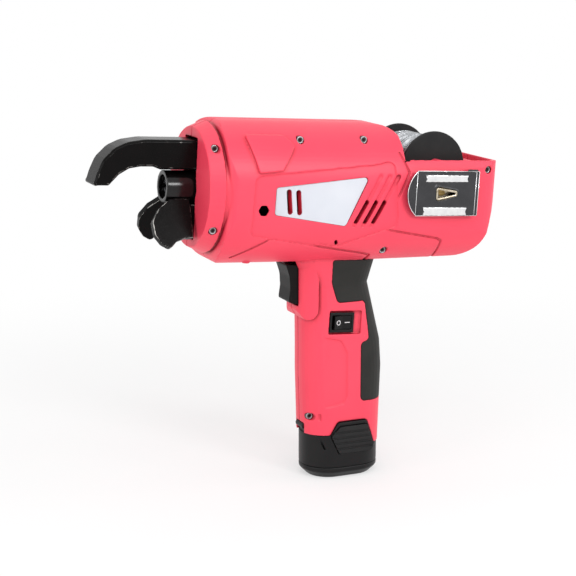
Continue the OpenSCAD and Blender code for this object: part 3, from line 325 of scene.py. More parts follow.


# The grain of the moulded and rolled finishes is drawn coarser than the real one, so that it shows.

# Moulded ABS, satin: an even red with wide soft highlights, and painted shade in a darker red in its
# grooves and corners.
RED_SHELL = Finish("red_shell", Kind.PLASTIC, "f3465d", "ef4159", 0.42, drift_mm=60.0, specular=0.4,
                   painted_shade="8c0c1e")
# Moulded rubber, matt and grainy: it stays dark where the shell shines.
GRIP_RUBBER = Finish("grip_rubber", Kind.PLASTIC, "2a2a28", "242422", 0.55, 0.08, 0.45, 0.03, 18.0)
# Moulded ABS with a fine eroded grain, which breaks up its highlights.
BLACK_PLASTIC = Finish("black_plastic", Kind.PLASTIC, "181818", "141415", 0.4, depth_mm=0.015,
                       drift_mm=20.0)
# Moulded ABS a shade lighter than the battery's case, so that the buttons stand out from it.
BUTTON_PLASTIC = Finish("button_plastic", Kind.PLASTIC, "232323", "1e1e1f", 0.42, depth_mm=0.015)
# Moulded nylon, smooth by use: nearly black, with little shine.
TRIGGER_PLASTIC = Finish("trigger_plastic", Kind.PLASTIC, "161515", "121111", 0.36, specular=0.1)
# Polished nylon: small sharp highlights on deep black.
ROCKER_GLOSS = Finish("rocker_gloss", Kind.PLASTIC, "121212", "0f0f10", 0.28, 0.04, 0.4, 0.008, 8.0)
# Cast steel under thin black paint: dark faces, and bare metal along the rubbed edges.
BLACK_STEEL = Finish("black_steel", Kind.WORN_PAINT, "0a0909", "0e0c0c", 0.24, grain_mm=1.2,
                     specular=0.07)
# Turned steel under gloss black paint: one long bright highlight.
SLEEVE_GLOSS = Finish("sleeve_gloss", Kind.PLASTIC, "0a0909", "0e0c0c", 0.16, 0.03, 1.2, 0.004,
                      specular=0.35)
# Silver polyester film under a clear coat: a cool pale grey with a soft shine.
LABEL_FILM = Finish("label_film", Kind.PLASTIC, "d3d6dd", "c6cad3", 0.3, 0.05, 0.3, 0.003, 40.0,
                    coat=0.3)
# Zinc-plated steel: bright and slightly cloudy.
BRIGHT_STEEL = Finish("bright_steel", Kind.METAL, "b8b9bb", "a5a6a9", 0.28, 0.08, 0.35, 0.006, 8.0)
# Steel drawn dark as painted shade of the recesses the heads sit in, with small glints.
SHADED_SCREW_STEEL = Finish("shaded_screw_steel", Kind.METAL, "6a6663", "4c4947", 0.3, 0.08, 0.35, 0.006, 3.0)
# Rolled spring steel: dark, finely brushed along the clip.
CLIP_STEEL = Finish("clip_steel", Kind.METAL, "4c4c4e", "444446", 0.3, 0.06, 0.3, 0.004, 12.0, 6.0)
# The clip's steel drawn nearly white: painted highlight on the ribs and along the clip's edges.
CLIP_HIGHLIGHT_STEEL = Finish("clip_highlight_steel", Kind.METAL, "f6f6f6", "e6e6e8", 0.2, 0.06, 0.3, 0.004, 10.0, 6.0)
# Plated steel gone warm with age: a dull golden grey.
EYELET_STEEL = Finish("eyelet_steel", Kind.METAL, "cfc4b0", "a99d88", 0.26, 0.07, 0.3, 0.005, 4.0)
# Turned brass, a little tarnished: a dull yellow.
BRASS = Finish("brass", Kind.METAL, "a98f5c", "806b42", 0.3, 0.08, 0.4, 0.008, 4.0)
# Drawn and plated steel can: grey, brushed along its length.
MOTOR_CAN = Finish("motor_can", Kind.METAL, "97999c", "88898d", 0.34, 0.08, 0.3, 0.005, 15.0, 12.0)
# Annealed tying wire: grey, with a bright line on each turn.
WIRE_STEEL = Finish("wire_steel", Kind.METAL, "b4b6b9", "85878a", 0.26, 0.08, 0.5, 0.005, 6.0)
# Glass-fibre board under solder resist: glossy green.
BOARD_RESIN = Finish("board_resin", Kind.PLASTIC, "1a5a34", "15492b", 0.35, grain_mm=0.6, coat=0.4)
# Shrunk PVC sleeve: smooth blue under a clear shine.
CELL_WRAP = Finish("cell_wrap", Kind.PLASTIC, "3478b8", "2d6ba6", 0.3, coat=0.3)
# Moulded polypropylene: matt dark grey.
REEL_PLASTIC = Finish("reel_plastic", Kind.PLASTIC, "232323", "1d1d1e", 0.5, grain_mm=0.6,
                      depth_mm=0.015)
# Printed ink: flat off-white.
MARK_WHITE = Finish("mark_white", Kind.PLASTIC, "dcdcdc", "cbcbcc", 0.45, 0.05, 0.3, 0.004, 2.0)
# Painted shade at the bottom of a socket: nearly black.
SOCKET_PAINTED_SHADE = Finish("socket_painted_shade", Kind.PLASTIC, "141212", "0e0d0d", 0.5, 0.06, 0.3, 0.005, 2.0)
# Rolled studio paper: flat white.
FLOOR_PAPER = Finish("floor_paper", Kind.PLASTIC, WHITE, "fdfdfd", 0.9, 0.02, 3.0, 0.01, 200.0)

SLOT_FINISHES = {
    "red_shell": RED_SHELL, "black_rubber": GRIP_RUBBER, "black_plastic": BLACK_PLASTIC,
    "gloss_black": ROCKER_GLOSS, "black_steel": BLACK_STEEL, "label_film": LABEL_FILM,
    "bright_steel": BRIGHT_STEEL, "clip_steel": CLIP_STEEL, "brass": BRASS, "motor_can": MOTOR_CAN,
    "wire": WIRE_STEEL, "board": BOARD_RESIN, "cell_wrap": CELL_WRAP,
}


@dataclass(frozen=True)
class BarrelFrame:
    """The barrel's own frame: its axis over the handle, pitched nose up.

    Attributes:
        height: Height of the axis over the handle, in millimetres.
        pitch: Nose-up pitch in degrees.
    """

    height: float = 240.0
    pitch: float = 3.5

    def matrix(self) -> Matrix:
        """Gives the frame's place in the part.

        Returns:
            The place, with the frame's millimetres scaled to metres.
        """
        lift = Matrix.Translation((0, 0, self.height * MM))
        return lift @ Matrix.Rotation(math.radians(-self.pitch), 4, "Y") @ Matrix.Scale(MM, 4)


BARREL = BarrelFrame()


def add_piece(name: str, mesh: Mesh, body: str, finish: Finish) -> Object:
    """Links a mesh into the scene as a piece that rides on a body.

    Args:
        name: Name of the piece.
        mesh: Its mesh, in place, in metres.
        body: The CAD body it moves with.
        finish: What it looks like.

    Returns:
        The new object.
    """
    piece = bpy.data.objects.new(name, mesh)
    bpy.context.scene.collection.objects.link(piece)
    mesh.materials.clear()
    mesh.materials.append(finish.material())
    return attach(piece, body)


def mesh_from(name: str, fill: Callable[[BMesh], None], smooth: bool = True) -> Mesh:
    """Makes a mesh with a function that fills a bmesh.

    Args:
        name: Name of the mesh.
        fill: Adds the geometry, in metres.
        smooth: Whether faces are shaded smooth.

    Returns:
        The mesh, with its normals outward.
    """
    work = bmesh.new()
    fill(work)
    bmesh.ops.recalc_face_normals(work, faces=work.faces)
    for face in work.faces:
        face.smooth = smooth
    mesh = bpy.data.meshes.new(name)
    work.to_mesh(mesh)
    work.free()
    return mesh


def settled(piece: Object) -> Mesh:
    """Gives the mesh that a piece's modifiers make.

    Args:
        piece: An object with modifiers.

    Returns:
        A new mesh with the modifiers applied.
    """
    graph = bpy.context.evaluated_depsgraph_get()
    return bpy.data.meshes.new_from_object(piece.evaluated_get(graph))


def mark_wear(mesh: Mesh) -> None:
    """Stores how far each point stands out on an edge, for the worn paint.

    Args:
        mesh: A dense mesh with rounded edges.
    """
    work = bmesh.new()
    work.from_mesh(mesh)
    work.normal_update()
    values = []
    for vert in work.verts:
        around = [edge.other_vert(vert).co for edge in vert.link_edges]
        middle = sum(around, Vector()) / len(around)
        reach = sum((p - vert.co).length for p in around) / len(around)
        values.append(max(0.0, (vert.co - middle).dot(vert.normal) / reach))
    work.free()
    layer = mesh.attributes.new(WEAR, "FLOAT", "POINT")
    layer.data.foreach_set("value", [min(1.0, WEAR_GAIN * v) for v in values])


@dataclass(frozen=True)
class SoftCopy:
    """A moulded or cast copy of a CAD node, with its sharp edges rounded.

    Attributes:
        node: The CAD node that it stands for.
        body: The body that it rides on.
        slot: The record's material slot; not used.
        finish: What it looks like.
        voxel_mm: Fineness of the remesh; the edges round to about twice this.
        steps: Smoothing steps after the remesh.
        triangles: Most triangles that it may keep.
        chamfer_mm: Chamfer along the outline of its two side faces.
        flat_angle: Least bend in degrees that is an edge, before the chamfer.
        face_mm: How far a side face's points may lie from its plane.
    """

    node: str
    body: str
    slot: str
    finish: Finish
    voxel_mm: float
    steps: int = 4
    triangles: int = 150_000
    chamfer_mm: float = 0.0
    flat_angle: float = 2.0
    face_mm: float = 0.01

    def build(self, nodes: Nodes) -> Object:
        """Makes the piece in place of its node.

        Args:
            nodes: The CAD nodes by name.

        Returns:
            The new piece.
        """
        draft = bpy.data.objects.new(self.node + "_draft", self.draft_mesh(nodes[self.node].data))
        bpy.context.scene.collection.objects.link(draft)
        remesh = draft.modifiers.new("round", "REMESH")
        remesh.mode = "VOXEL"
        remesh.voxel_size = self.voxel_mm * MM * 1
        smooth = draft.modifiers.new("smooth", "SMOOTH")
        smooth.iterations = self.steps
        draft.data = settled(draft)
        draft.modifiers.clear()
        count = 2 * len(draft.data.polygons)
        if count > self.triangles:
            thin = draft.modifiers.new("thin", "DECIMATE")
            thin.ratio = self.triangles / count
        final = settled(draft)
        bpy.data.objects.remove(draft)
        final.shade_smooth()
        if self.finish.kind is Kind.WORN_PAINT:
            mark_wear(final)
        piece = add_piece(self.node + "_soft", final, self.body, self.finish)
        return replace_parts(piece, self.node)

    def draft_mesh(self, source: Mesh) -> Mesh:
        """Copies the CAD mesh as one closed skin, with the chamfer cut.

        Args:
            source: The CAD mesh.

        Returns:
            The new mesh.
        """
        work = bmesh.new()
        work.from_mesh(source)
        bmesh.ops.remove_doubles(work, verts=work.verts, dist=MERGE_MM * MM)
        if self.chamfer_mm:
            angle = math.radians(self.flat_angle)
            bmesh.ops.dissolve_limit(work, angle_limit=angle, verts=work.verts, edges=work.edges)
            reach = max(abs(v.co.y) for v in work.verts) - self.face_mm * MM
            outer = [e for e in work.edges if min(abs(v.co.y) for v in e.verts) > reach]
            rim = [e for e in outer if e.is_convex]
            bmesh.ops.bevel(work, geom=rim, offset=self.chamfer_mm * MM, segments=1, affect="EDGES",
                            profile=0.5, material=-1, clamp_overlap=False)
            bmesh.ops.triangulate(work, faces=work.faces)
        mesh = bpy.data.meshes.new(self.node + "_soft")
        work.to_mesh(mesh)
        work.free()
        return mesh


SOFT_COPIES = (
    SoftCopy("left_housing", "tool", "red_shell", RED_SHELL, 0.55, 3, 195_000),
    SoftCopy("right_housing", "tool", "red_shell", RED_SHELL, 0.55, 3, 195_000),
    SoftCopy("left_grip", "tool", "black_rubber", GRIP_RUBBER, 0.5, 5, 60_000),
    SoftCopy("right_grip", "tool", "black_rubber", GRIP_RUBBER, 0.5, 5, 60_000),
    SoftCopy("trigger", "trigger", "black_plastic", TRIGGER_PLASTIC, 0.45, 6, 60_000),
    SoftCopy("upper_jaw", "tool", "black_steel", BLACK_STEEL, 0.45, 4, 120_000, 1.6),
    SoftCopy("guide_sleeve", "tool", "black_steel", SLEEVE_GLOSS, 0.45, 3, 60_000),
    SoftCopy("left_guide", "tool", "black_steel", BLACK_STEEL, 0.45, 4, 60_000),
    SoftCopy("right_guide", "tool", "black_steel", BLACK_STEEL, 0.45, 4, 60_000),
    SoftCopy("rocker_frame", "tool", "black_plastic", BLACK_PLASTIC, 0.3, 2, 50_000),
    SoftCopy("rocker", "rocker", "gloss_black", ROCKER_GLOSS, 0.2, 3, 50_000),
    SoftCopy("battery_case", "battery", "black_plastic", BLACK_PLASTIC, 0.45, 4, 150_000),
    SoftCopy("battery_cap", "battery", "black_plastic", BLACK_PLASTIC, 0.6, 14, 80_000),
    SoftCopy("left_button", "left_button", "black_plastic", BUTTON_PLASTIC, 0.25, 2, 80_000),
    SoftCopy("right_button", "right_button", "black_plastic", BUTTON_PLASTIC, 0.25, 2, 80_000),
    SoftCopy("reel_spool", "reel", "black_plastic", REEL_PLASTIC, 0.5, 4, 90_000),
    SoftCopy("belt_clip", "tool", "clip_steel", CLIP_STEEL, 0.3, 2, 120_000),
)


def wire_tube(work: BMesh, route: Sequence[Vector], radius: float, sides: int = 8) -> None:
    """Sweeps a round wire along a route.

    Args:
        work: Where the tube goes.
        route: Points of the wire's middle, in metres.
        radius: Radius of the wire in metres.
        sides: Sides of the wire.
    """
    rings = []
    normal = (route[1] - route[0]).orthogonal().normalized()
    for i, point in enumerate(route):
        along = (route[min(i + 1, len(route) - 1)] - route[max(i - 1, 0)]).normalized()
        normal = (normal - along * normal.dot(along)).normalized()
        across = along.cross(normal)
        ring = []
        for k in range(sides):
            a = 2 * math.pi * k / sides
            out = math.cos(a) * normal + math.sin(a) * across
            ring.append(work.verts.new(point + radius * out))
        rings.append(ring)
    for one, two in zip(rings, rings[1:]):
        for k in range(sides):
            work.faces.new((one[k], one[(k + 1) % sides], two[(k + 1) % sides], two[k]))
    work.faces.new(rings[0])
    work.faces.new(rings[-1])


def bevelled(work: BMesh, faces: Sequence[bmesh.types.BMFace], height: Vector, bevel: float,
             segments: int = 3) -> None:
    """Raises flat faces into a plate with rounded edges.

    Args:
        work: Where the plate goes.
        faces: The flat faces.
        height: Direction and thickness of the plate.
        bevel: Radius of the edges.
        segments: Steps in a rounded edge.
    """
    raised = bmesh.ops.extrude_face_region(work, geom=list(faces))
    lifted = [g for g in raised["geom"] if isinstance(g, bmesh.types.BMVert)]
    bmesh.ops.translate(work, vec=height, verts=lifted)
    top = [g for g in raised["geom"] if isinstance(g, bmesh.types.BMFace)]
    rim = list(dict.fromkeys(edge for face in top for edge in face.edges))
    bmesh.ops.bevel(work, geom=rim, offset=bevel, segments=segments, affect="EDGES", profile=0.5,
                    material=-1)


@dataclass
class WireReel:
    """The wire on the reel: close turns with a few strands that cross over them.

    Attributes:
        wire_mm: Thickness of the tying wire.
        pitch_mm: Distance between close turns.
        steps: Points in a turn.
        strands: Strands that cross over the close turns.
        reach: Share of the width that the first strand crosses.
        less: How much less each further strand crosses.
        first_turns: Turns of the first strand; each further one has one more.
        apart: Angle between the starts of the strands in degrees.
    """

    wire_mm: float = 1.0
    pitch_mm: float = 1.06
    steps: int = 40
    strands: int = 5
    reach: float = 0.75
    less: float = 0.06
    first_turns: int = 5
    apart: float = 70.0

    def build(self) -> Object:
        """Makes the turns in place of the CAD winding.

        Returns:
            The new piece.
        """
        low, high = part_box("wire_winding")
        middle = (low + high) / 2
        outer = (high.z - low.z) / 2
        half = (high.y - low.y) / 2
        radius = self.wire_mm * MM / 2

        def fill(work: BMesh) -> None:
            """Adds the close turns, then one wire further out the strands over them.

            Args:
                work: Where they go.
            """
            count = int(2 * (half - radius) / (self.pitch_mm * MM))
            route = self.turns(middle, outer - 3 * radius, half - radius, count, 0.0)
            wire_tube(work, route, radius)
            for k in range(self.strands):
                width = half * (self.reach - self.less * k)
                route = self.turns(middle, outer - radius, width, self.first_turns + k, self.apart * k)
                wire_tube(work, route, radius)

        piece = add_piece("wire_turns", mesh_from("wire_turns", fill), "reel", WIRE_STEEL)
        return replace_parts(piece, "wire_winding")

    def turns(self, middle: Vector, radius: float, half: float, count: int,
              start: float) -> list[Vector]:
        """Works out the route of one length of wire.

        Args:
            middle: Middle of the reel.
            radius: Radius of the turns.
            half: How far the turns reach either way along the axle.
            count: Turns.
            start: Angle of the first point in degrees.

        Returns:
            The points of the route.
        """
        route = []
        for i in range(count * self.steps + 1):
            t = i / (count * self.steps)
            a = math.radians(start) + 2 * math.pi * t * count
            out = Vector((radius * math.cos(a), half * (2 * t - 1), radius * math.sin(a)))
            route.append(middle + out)
        return route


@dataclass
class Spring:
    """A coil spring that stands in place of a CAD sleeve.

    Attributes:
        node: The CAD sleeve that it stands for.
        body: The body that carries its fixed end.
        joint: The joint that presses it; not used.
        axis: Its length, pointing from the fixed end.
        travel_mm: How far the joint presses it; not used.
        turns: Coils.
        wire_mm: Thickness of its wire.
        steps: Points in a turn.
        least: Least share of its length that it keeps; not used.
    """

    node: str
    body: str
    joint: str
    axis: Vector
    travel_mm: float
    turns: int
    wire_mm: float = 0.7
    steps: int = 20
    least: float = 0.1

    def build(self) -> Object:
        """Makes the coil in place of its sleeve.

        Returns:
            The new piece.
        """
        low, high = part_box(self.node)
        size = high - low
        length = abs(size.dot(self.axis))
        across = self.axis.orthogonal().normalized()
        other = self.axis.cross(across)
        wire = self.wire_mm * MM / 2
        radius = abs(size.dot(other)) / 2 - wire
        fixed = (low + high) / 2 - self.axis * length / 2

        def fill(work: BMesh) -> None:
            """Adds the coil.

            Args:
                work: Where it goes.
            """
            route = []
            for i in range(self.turns * self.steps + 1):
                t = i / (self.turns * self.steps)
                a = 2 * math.pi * self.turns * t
                ring = radius * (math.cos(a) * across + math.sin(a) * other)
                route.append(fixed + self.axis * (wire + t * (length - 2 * wire)) + ring)
            wire_tube(work, route, wire)

        name = self.node + "_coil"
        piece = add_piece(name, mesh_from(name, fill), self.body, BRIGHT_STEEL)
        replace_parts(piece, self.node)
        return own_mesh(piece)


SPRINGS = (
    Spring("trigger_spring", "tool", "trigger_pull", Vector((1, 0, 0)), 6.0, 9),
    Spring("left_button_spring", "battery", "left_button_press", Vector((0, 1, 0)), 2.5, 3, 0.4),
    Spring("right_button_spring", "battery", "right_button_press", Vector((0, -1, 0)), 2.5, 3, 0.4),
)


@dataclass
class RockerMarks:
    """The ring and bar printed on the two halves of the rocker.

    Attributes:
        middle: Rocker axis in the part, in millimetres.
        lean: Lean of the switch in its pocket, in degrees.
        rest: Tilt of the rocker at rest, in degrees.
        face: Height of the rocker's faces over its axis at the middle, in millimetres.
        dip: Slope of the faces towards the middle, in degrees.
        ring_at: Middle of the ring along the rocker, in millimetres.
        bar_at: Middle of the bar along the rocker, in millimetres.
        ring_r: Radius of the ring in millimetres.
        line: Width of the printed lines in millimetres.
        bar_l: Length of the bar in millimetres.
        thick: Thickness of the marks in millimetres.
        ring_steps: Steps in the ring.
    """

    middle: Point = (6.993, 19.0, 133.709)
    lean: float = 4.0
    rest: float = 8.0
    face: float = 3.45
    dip: float = 8.2
    ring_at: float = 4.1
    bar_at: float = -4.3
    ring_r: float = 1.75
    line: float = 0.65
    bar_l: float = 4.4
    thick: float = 0.2
    ring_steps: int = 32

    def build(self) -> list[Object]:
        """Makes both marks as thin inlays on the rocker.

        Returns:
            The ring and the bar.
        """
        def ring(work: BMesh) -> None:
            """Adds the ring by spinning its section.

            Args:
                work: Where it goes.
            """
            section = [(r, y) for y in (-1, 1) for r in (y, -y)]
            verts = []
            for side, end in section:
                reach = self.ring_r - side * self.line / 2
                verts.append(work.verts.new((reach, end * self.thick / 2, 0)))
            edges = [work.edges.new((vert, verts[i - 1])) for i, vert in enumerate(verts)]
            bmesh.ops.spin(work, geom=verts + edges, cent=(0, 0, 0), axis=(0, 1, 0), angle=2 * math.pi,
                           steps=self.ring_steps, use_merge=True)
            bmesh.ops.remove_doubles(work, verts=work.verts, dist=MERGE_MM)
            bmesh.ops.transform(work, matrix=self.place(self.ring_at, self.dip), verts=work.verts)

        def bar(work: BMesh) -> None:
            """Adds the bar."""
            size = Matrix.Diagonal((self.bar_l, self.thick, self.line, 1))
            bmesh.ops.create_cube(work, size=1.0, matrix=self.place(self.bar_at, -self.dip) @ size)

        pieces = []
        for name, fill in (("rocker_ring", ring), ("rocker_bar", bar)):
            mesh = mesh_from(name, fill, False)
            pieces.append(add_piece(name, mesh, "rocker", MARK_WHITE))
        return pieces

    def place(self, along: float, dip: float) -> Matrix:
        """Gives the place of a mark on the rocker's face.

        Args:
            along: Distance from the rocker's middle in millimetres.
            dip: Slope of the face in degrees.

        Returns:
            The place, with its millimetres scaled to metres and the face's outward side along Y.
        """
        turns = ((-self.lean, "Y"), (self.rest, "Z"))
        at = Matrix.Translation(Vector(self.middle) * MM)
        for angle, axis in turns:
            at = at @ Matrix.Rotation(math.radians(angle), 4, axis)
        at = at @ Matrix.Scale(MM, 4) @ Matrix.Translation((0, self.face, 0))
        return at @ Matrix.Rotation(math.radians(dip), 4, "Z") @ Matrix.Translation((along, 0, 0))


@dataclass
class ClipTrim:
    """The ribs and edge lines of the belt clip in painted highlight, and its eyelet rim, in the
    barrel's millimetres.

    Attributes:
        middle: Middle of the clip along the barrel and its height.
        ribs: Place from the middle, half length and half height of each rib.
        notch: Share of the half length at which a rib's notched end lies.
        foot: Distance of the ribs' feet from the middle plane.
        face: Distance of their outer faces from the middle plane.
        bevel: Rounding of their edges.
        eyelet: Corners of the eyelet from the middle, each with its radius.
        eyelet_y: Distance of the eyelet rim's middle from the middle plane.
        eyelet_r: Radius of the eyelet rim's section.
        steps: Points in a corner of the eyelet and in the lip's edge.
        leaf: Rear end and fold of the outer leaf.
        half: Half height of the outer leaf.
        bend: Distance between the two bright lines of the rear bend.
        plate: Distance of the outer leaf's inner and outer face from the middle plane.
        line_r: Radius of the edge lines of painted highlight.
        lip: Radius, bulge, half height and lean in degrees of the flared lip.
        tab: Start, length and radius of the bright tab on the top edge.
        washer: Radius, seat and top of the washer under the clip's screw.
        washer_sides: Sides of the washer.
        screw: Place of the clip's screw along the barrel and its height.
    """

    middle: tuple[float, float] = (-69.4, 5.2)
    ribs: tuple[tuple[float, float, float, float], ...] = (
        (1.6, 12.1, 19.4, 2.7), (2.0, -14.4, 19.9, 3.2),
    )
    notch: float = 0.95
    foot: float = 57.4
    face: float = 58.95
    bevel: float = 0.7
    eyelet: tuple[Point, ...] = (
        (11.6, 6.5, 3.0), (11.6, -7.4, 3.0), (-9.2, -2.5, 2.4), (-9.2, 2.6, 2.4),
    )
    eyelet_y: float = 57.7
    eyelet_r: float = 0.95
    steps: int = 8
    leaf: tuple[float, float] = (-97.5, -41.3)
    half: float = 18.0
    bend: float = 2.6
    plate: tuple[float, float] = (56.4, 57.6)
    line_r: float = 0.28
    lip: tuple[float, float, float, float] = (21.95, 8.7, 17.5, 10.0)
    tab: tuple[float, float, float] = (1.4, 8.4, 0.7)
    washer: tuple[float, float, float] = (8.5, 50.5, 51.2)
    washer_sides: int = 48
    screw: tuple[float, float] = (-66.5, 6.0)

    def build(self) -> list[Object]:
        """Makes the ribs and the edge lines in painted highlight, the rim and the washer.

        Returns:
            The new pieces.
        """
        # The ribs and edge lines are drawn nearly white: painted highlights on the clip's dark steel.
        ribs = mesh_from("clip_rib_highlights", self.rib_plates)
        edges = mesh_from("clip_edge_highlights", self.edges)
        eyelet = mesh_from("clip_eyelet", self.rim)
        washer = mesh_from("clip_washer", self.washer_plate, False)
        return [
            add_piece("clip_rib_highlights", ribs, "tool", CLIP_HIGHLIGHT_STEEL),
            add_piece("clip_edge_highlights", edges, "tool", CLIP_HIGHLIGHT_STEEL),
            add_piece("clip_eyelet", eyelet, "tool", EYELET_STEEL),
            add_piece("clip_washer", washer, "tool", EYELET_STEEL),
        ]

    def rib_plates(self, work: BMesh) -> None:
        """Adds the two ribs.

        Args:
            work: Where they go.
        """
        ends = ((-1, 1), (-self.notch, 0), (-1, -1), (1, -1), (self.notch, 0), (1, 1))
        for x, z, length, height in self.ribs:
            corner = Vector((self.middle[0] + x, self.foot, self.middle[1] + z))
            verts = [work.verts.new(corner + Vector((a * length, 0, b * height))) for a, b in ends]
            bevelled(work, [work.faces.new(verts)], Vector((0, self.face - self.foot, 0)), self.bevel)
        bmesh.ops.transform(work, matrix=BARREL.matrix(), verts=work.verts)

    def edges(self, work: BMesh) -> None:
        """Adds the lines of painted highlight along the leaf, its fold and its lip, and the tab.

        Args:
            work: Where they go.
        """
        matrix = BARREL.matrix()
        rear, fold = self.leaf
        height = self.middle[1]
        top, low = height + self.half, height - self.half
        corners = [((x, low), (x, top)) for x in (rear, rear + self.bend, fold)]
        corners += [((rear, z), (fold, z)) for z in (low, top)]
        for ends in corners:
            route = [matrix @ Vector((x, self.plate[1], z)) for x, z in ends]
            wire_tube(work, route, self.line_r * MM)
        radius, bulge, half, lean = self.lip
        at = Matrix.Translation((fold, self.plate[0], height))
        at = at @ Matrix.Rotation(math.radians(lean), 4, "Z")
        across = self.plate[1] - self.plate[0]
        route = []
        for k in range(-2 * self.steps, 2 * self.steps + 1):
            a = math.asin(half / radius) * k / (2 * self.steps)
            point = Vector((bulge - radius + radius * math.cos(a), across, radius * math.sin(a)))
            route.append(matrix @ at @ point)
        wire_tube(work, route, self.line_r * MM)
        start, length, thick = self.tab
        ends = [Vector((rear + start + x, self.plate[1] - thick, top + thick)) for x in (0, length)]
        wire_tube(work, [matrix @ p for p in ends], thick * MM)

    def washer_plate(self, work: BMesh) -> None:
        """Adds the washer that shows through the eyelet.

        Args:
            work: Where it goes.
        """
        radius, seat, top = self.washer
        at = BARREL.matrix() @ Matrix.Translation((self.screw[0], (seat + top) / 2, self.screw[1]))
        bmesh.ops.create_cone(work, cap_ends=True, segments=self.washer_sides, radius1=radius,
                              radius2=radius, depth=top - seat, matrix=at @ FACING_SIDE)

    def rim(self, work: BMesh) -> None:
        """Adds the rolled rim of the eyelet.

        Args:
            work: Where it goes.
        """
        route = []
        along, height = self.middle
        corners = [Vector((along + x, self.eyelet_y, height + z)) for x, z, _ in self.eyelet]
        for i, corner in enumerate(corners):
            before = (corners[i - 1] - corner).normalized()
            after = (corners[(i + 1) % len(corners)] - corner).normalized()
            half = before.angle(after) / 2
            radius = self.eyelet[i][2]
            middle = corner + (before + after).normalized() * radius / math.sin(half)
            start = corner + before * radius / math.tan(half) - middle
            end = corner + after * radius / math.tan(half) - middle
            route += [middle + start.slerp(end, k / self.steps) for k in range(self.steps + 1)]
        matrix = BARREL.matrix()
        # The last step runs over the first, which closes the ring.
        wire_tube(work, [matrix @ p for p in route + route[:2]], self.eyelet_r * MM)


@dataclass
class ScrewHeads:
    """The rims of painted highlight and the faces of painted shade in the sockets of the screw heads.

    Attributes:
        radius: Corner radius of a socket in millimetres.
        depth: Depth of the face of painted shade under the head in millimetres.
        thick: Thickness of the face of painted shade in millimetres.
        rim_r: Radius of the rim's middle in millimetres.
        rim_line: Radius of the rim's section in millimetres.
        rim_steps: Points in a rim.
    """

    radius: float = 1.45
    depth: float = 0.3
    thick: float = 0.3
    rim_r: float = 2.4
    rim_line: float = 0.5
    rim_steps: int = 32

    def build(self, nodes: Nodes) -> list[Object]:
        """Makes a rim of painted highlight and a face of painted shade for every head.

        Args:
            nodes: The CAD nodes by name.

        Returns:
            The faces of painted shade and the rims of painted highlight.
        """
        faces = []
        for low, high in self.heads(nodes["housing_screws"].data):
            faces.append(Vector(((low.x + high.x) / 2, high.y, (low.z + high.z) / 2)))

        def sockets(work: BMesh) -> None:
            """Adds a hexagon of painted shade in each head.

            Args:
                work: Where they go.
            """
            radius = self.radius * MM
            for face in faces:
                at = Matrix.Translation(face - Vector((0, self.depth * MM, 0)))
                bmesh.ops.create_cone(work, cap_ends=True, segments=HEX_SIDES, radius1=radius,
                                      radius2=radius, depth=self.thick * MM, matrix=at @ FACING_SIDE)

        def rims(work: BMesh) -> None:
            """Adds a ring of painted highlight on each head, whose last step runs over its first.

            Args:
                work: Where they go.
            """
            for face in faces:
                route = []
                for i in range(self.rim_steps + 2):
                    a = 2 * math.pi * i / self.rim_steps
                    route.append(face + self.rim_r * MM * Vector((math.cos(a), 0, math.sin(a))))
                wire_tube(work, route, self.rim_line * MM)

        # The heads are drawn dark: painted shade of the recesses they sit in.
        nodes["housing_screws"].data.materials[0] = SHADED_SCREW_STEEL.material()
        # Dark hexagons are painted shade in the sockets; bright rings are painted highlight on the
        # rims.
        dark = mesh_from("screw_socket_shade", sockets, False)
        bright = mesh_from("screw_rim_highlights", rims)
        return [
            add_piece("screw_socket_shade", dark, "tool", SOCKET_PAINTED_SHADE),
            add_piece("screw_rim_highlights", bright, "tool", BRIGHT_STEEL),
        ]

    def heads(self, mesh: Mesh) -> list[tuple[Vector, Vector]]:
        """Finds the box of every screw in the group.

        Args:
            mesh: The CAD mesh of all screws.

        Returns:
            The low and high corner of each screw.
        """
        work = bmesh.new()
        work.from_mesh(mesh)
        bmesh.ops.remove_doubles(work, verts=work.verts, dist=MERGE_MM * MM)
        left = set(work.verts)
        boxes = []
        for first in work.verts:
            if first not in left:
                continue
            left.remove(first)
            found = [first]
            for vert in found:
                near = {edge.other_vert(vert) for edge in vert.link_edges} & left
                left -= near
                found += near
            ends = [[pick(v.co[k] for v in found) for k in range(3)] for pick in (min, max)]
            boxes.append((Vector(ends[0]), Vector(ends[1])))
        work.free()
        return boxes


@dataclass(frozen=True)
class Lamp:
    """A square softbox.

    Attributes:
        name: Name of the light.
        at: Its place in metres.
        size: Its side in metres.
        power: Its power in watts.
    """

    name: str
    at: Point
    size: float
    power: float


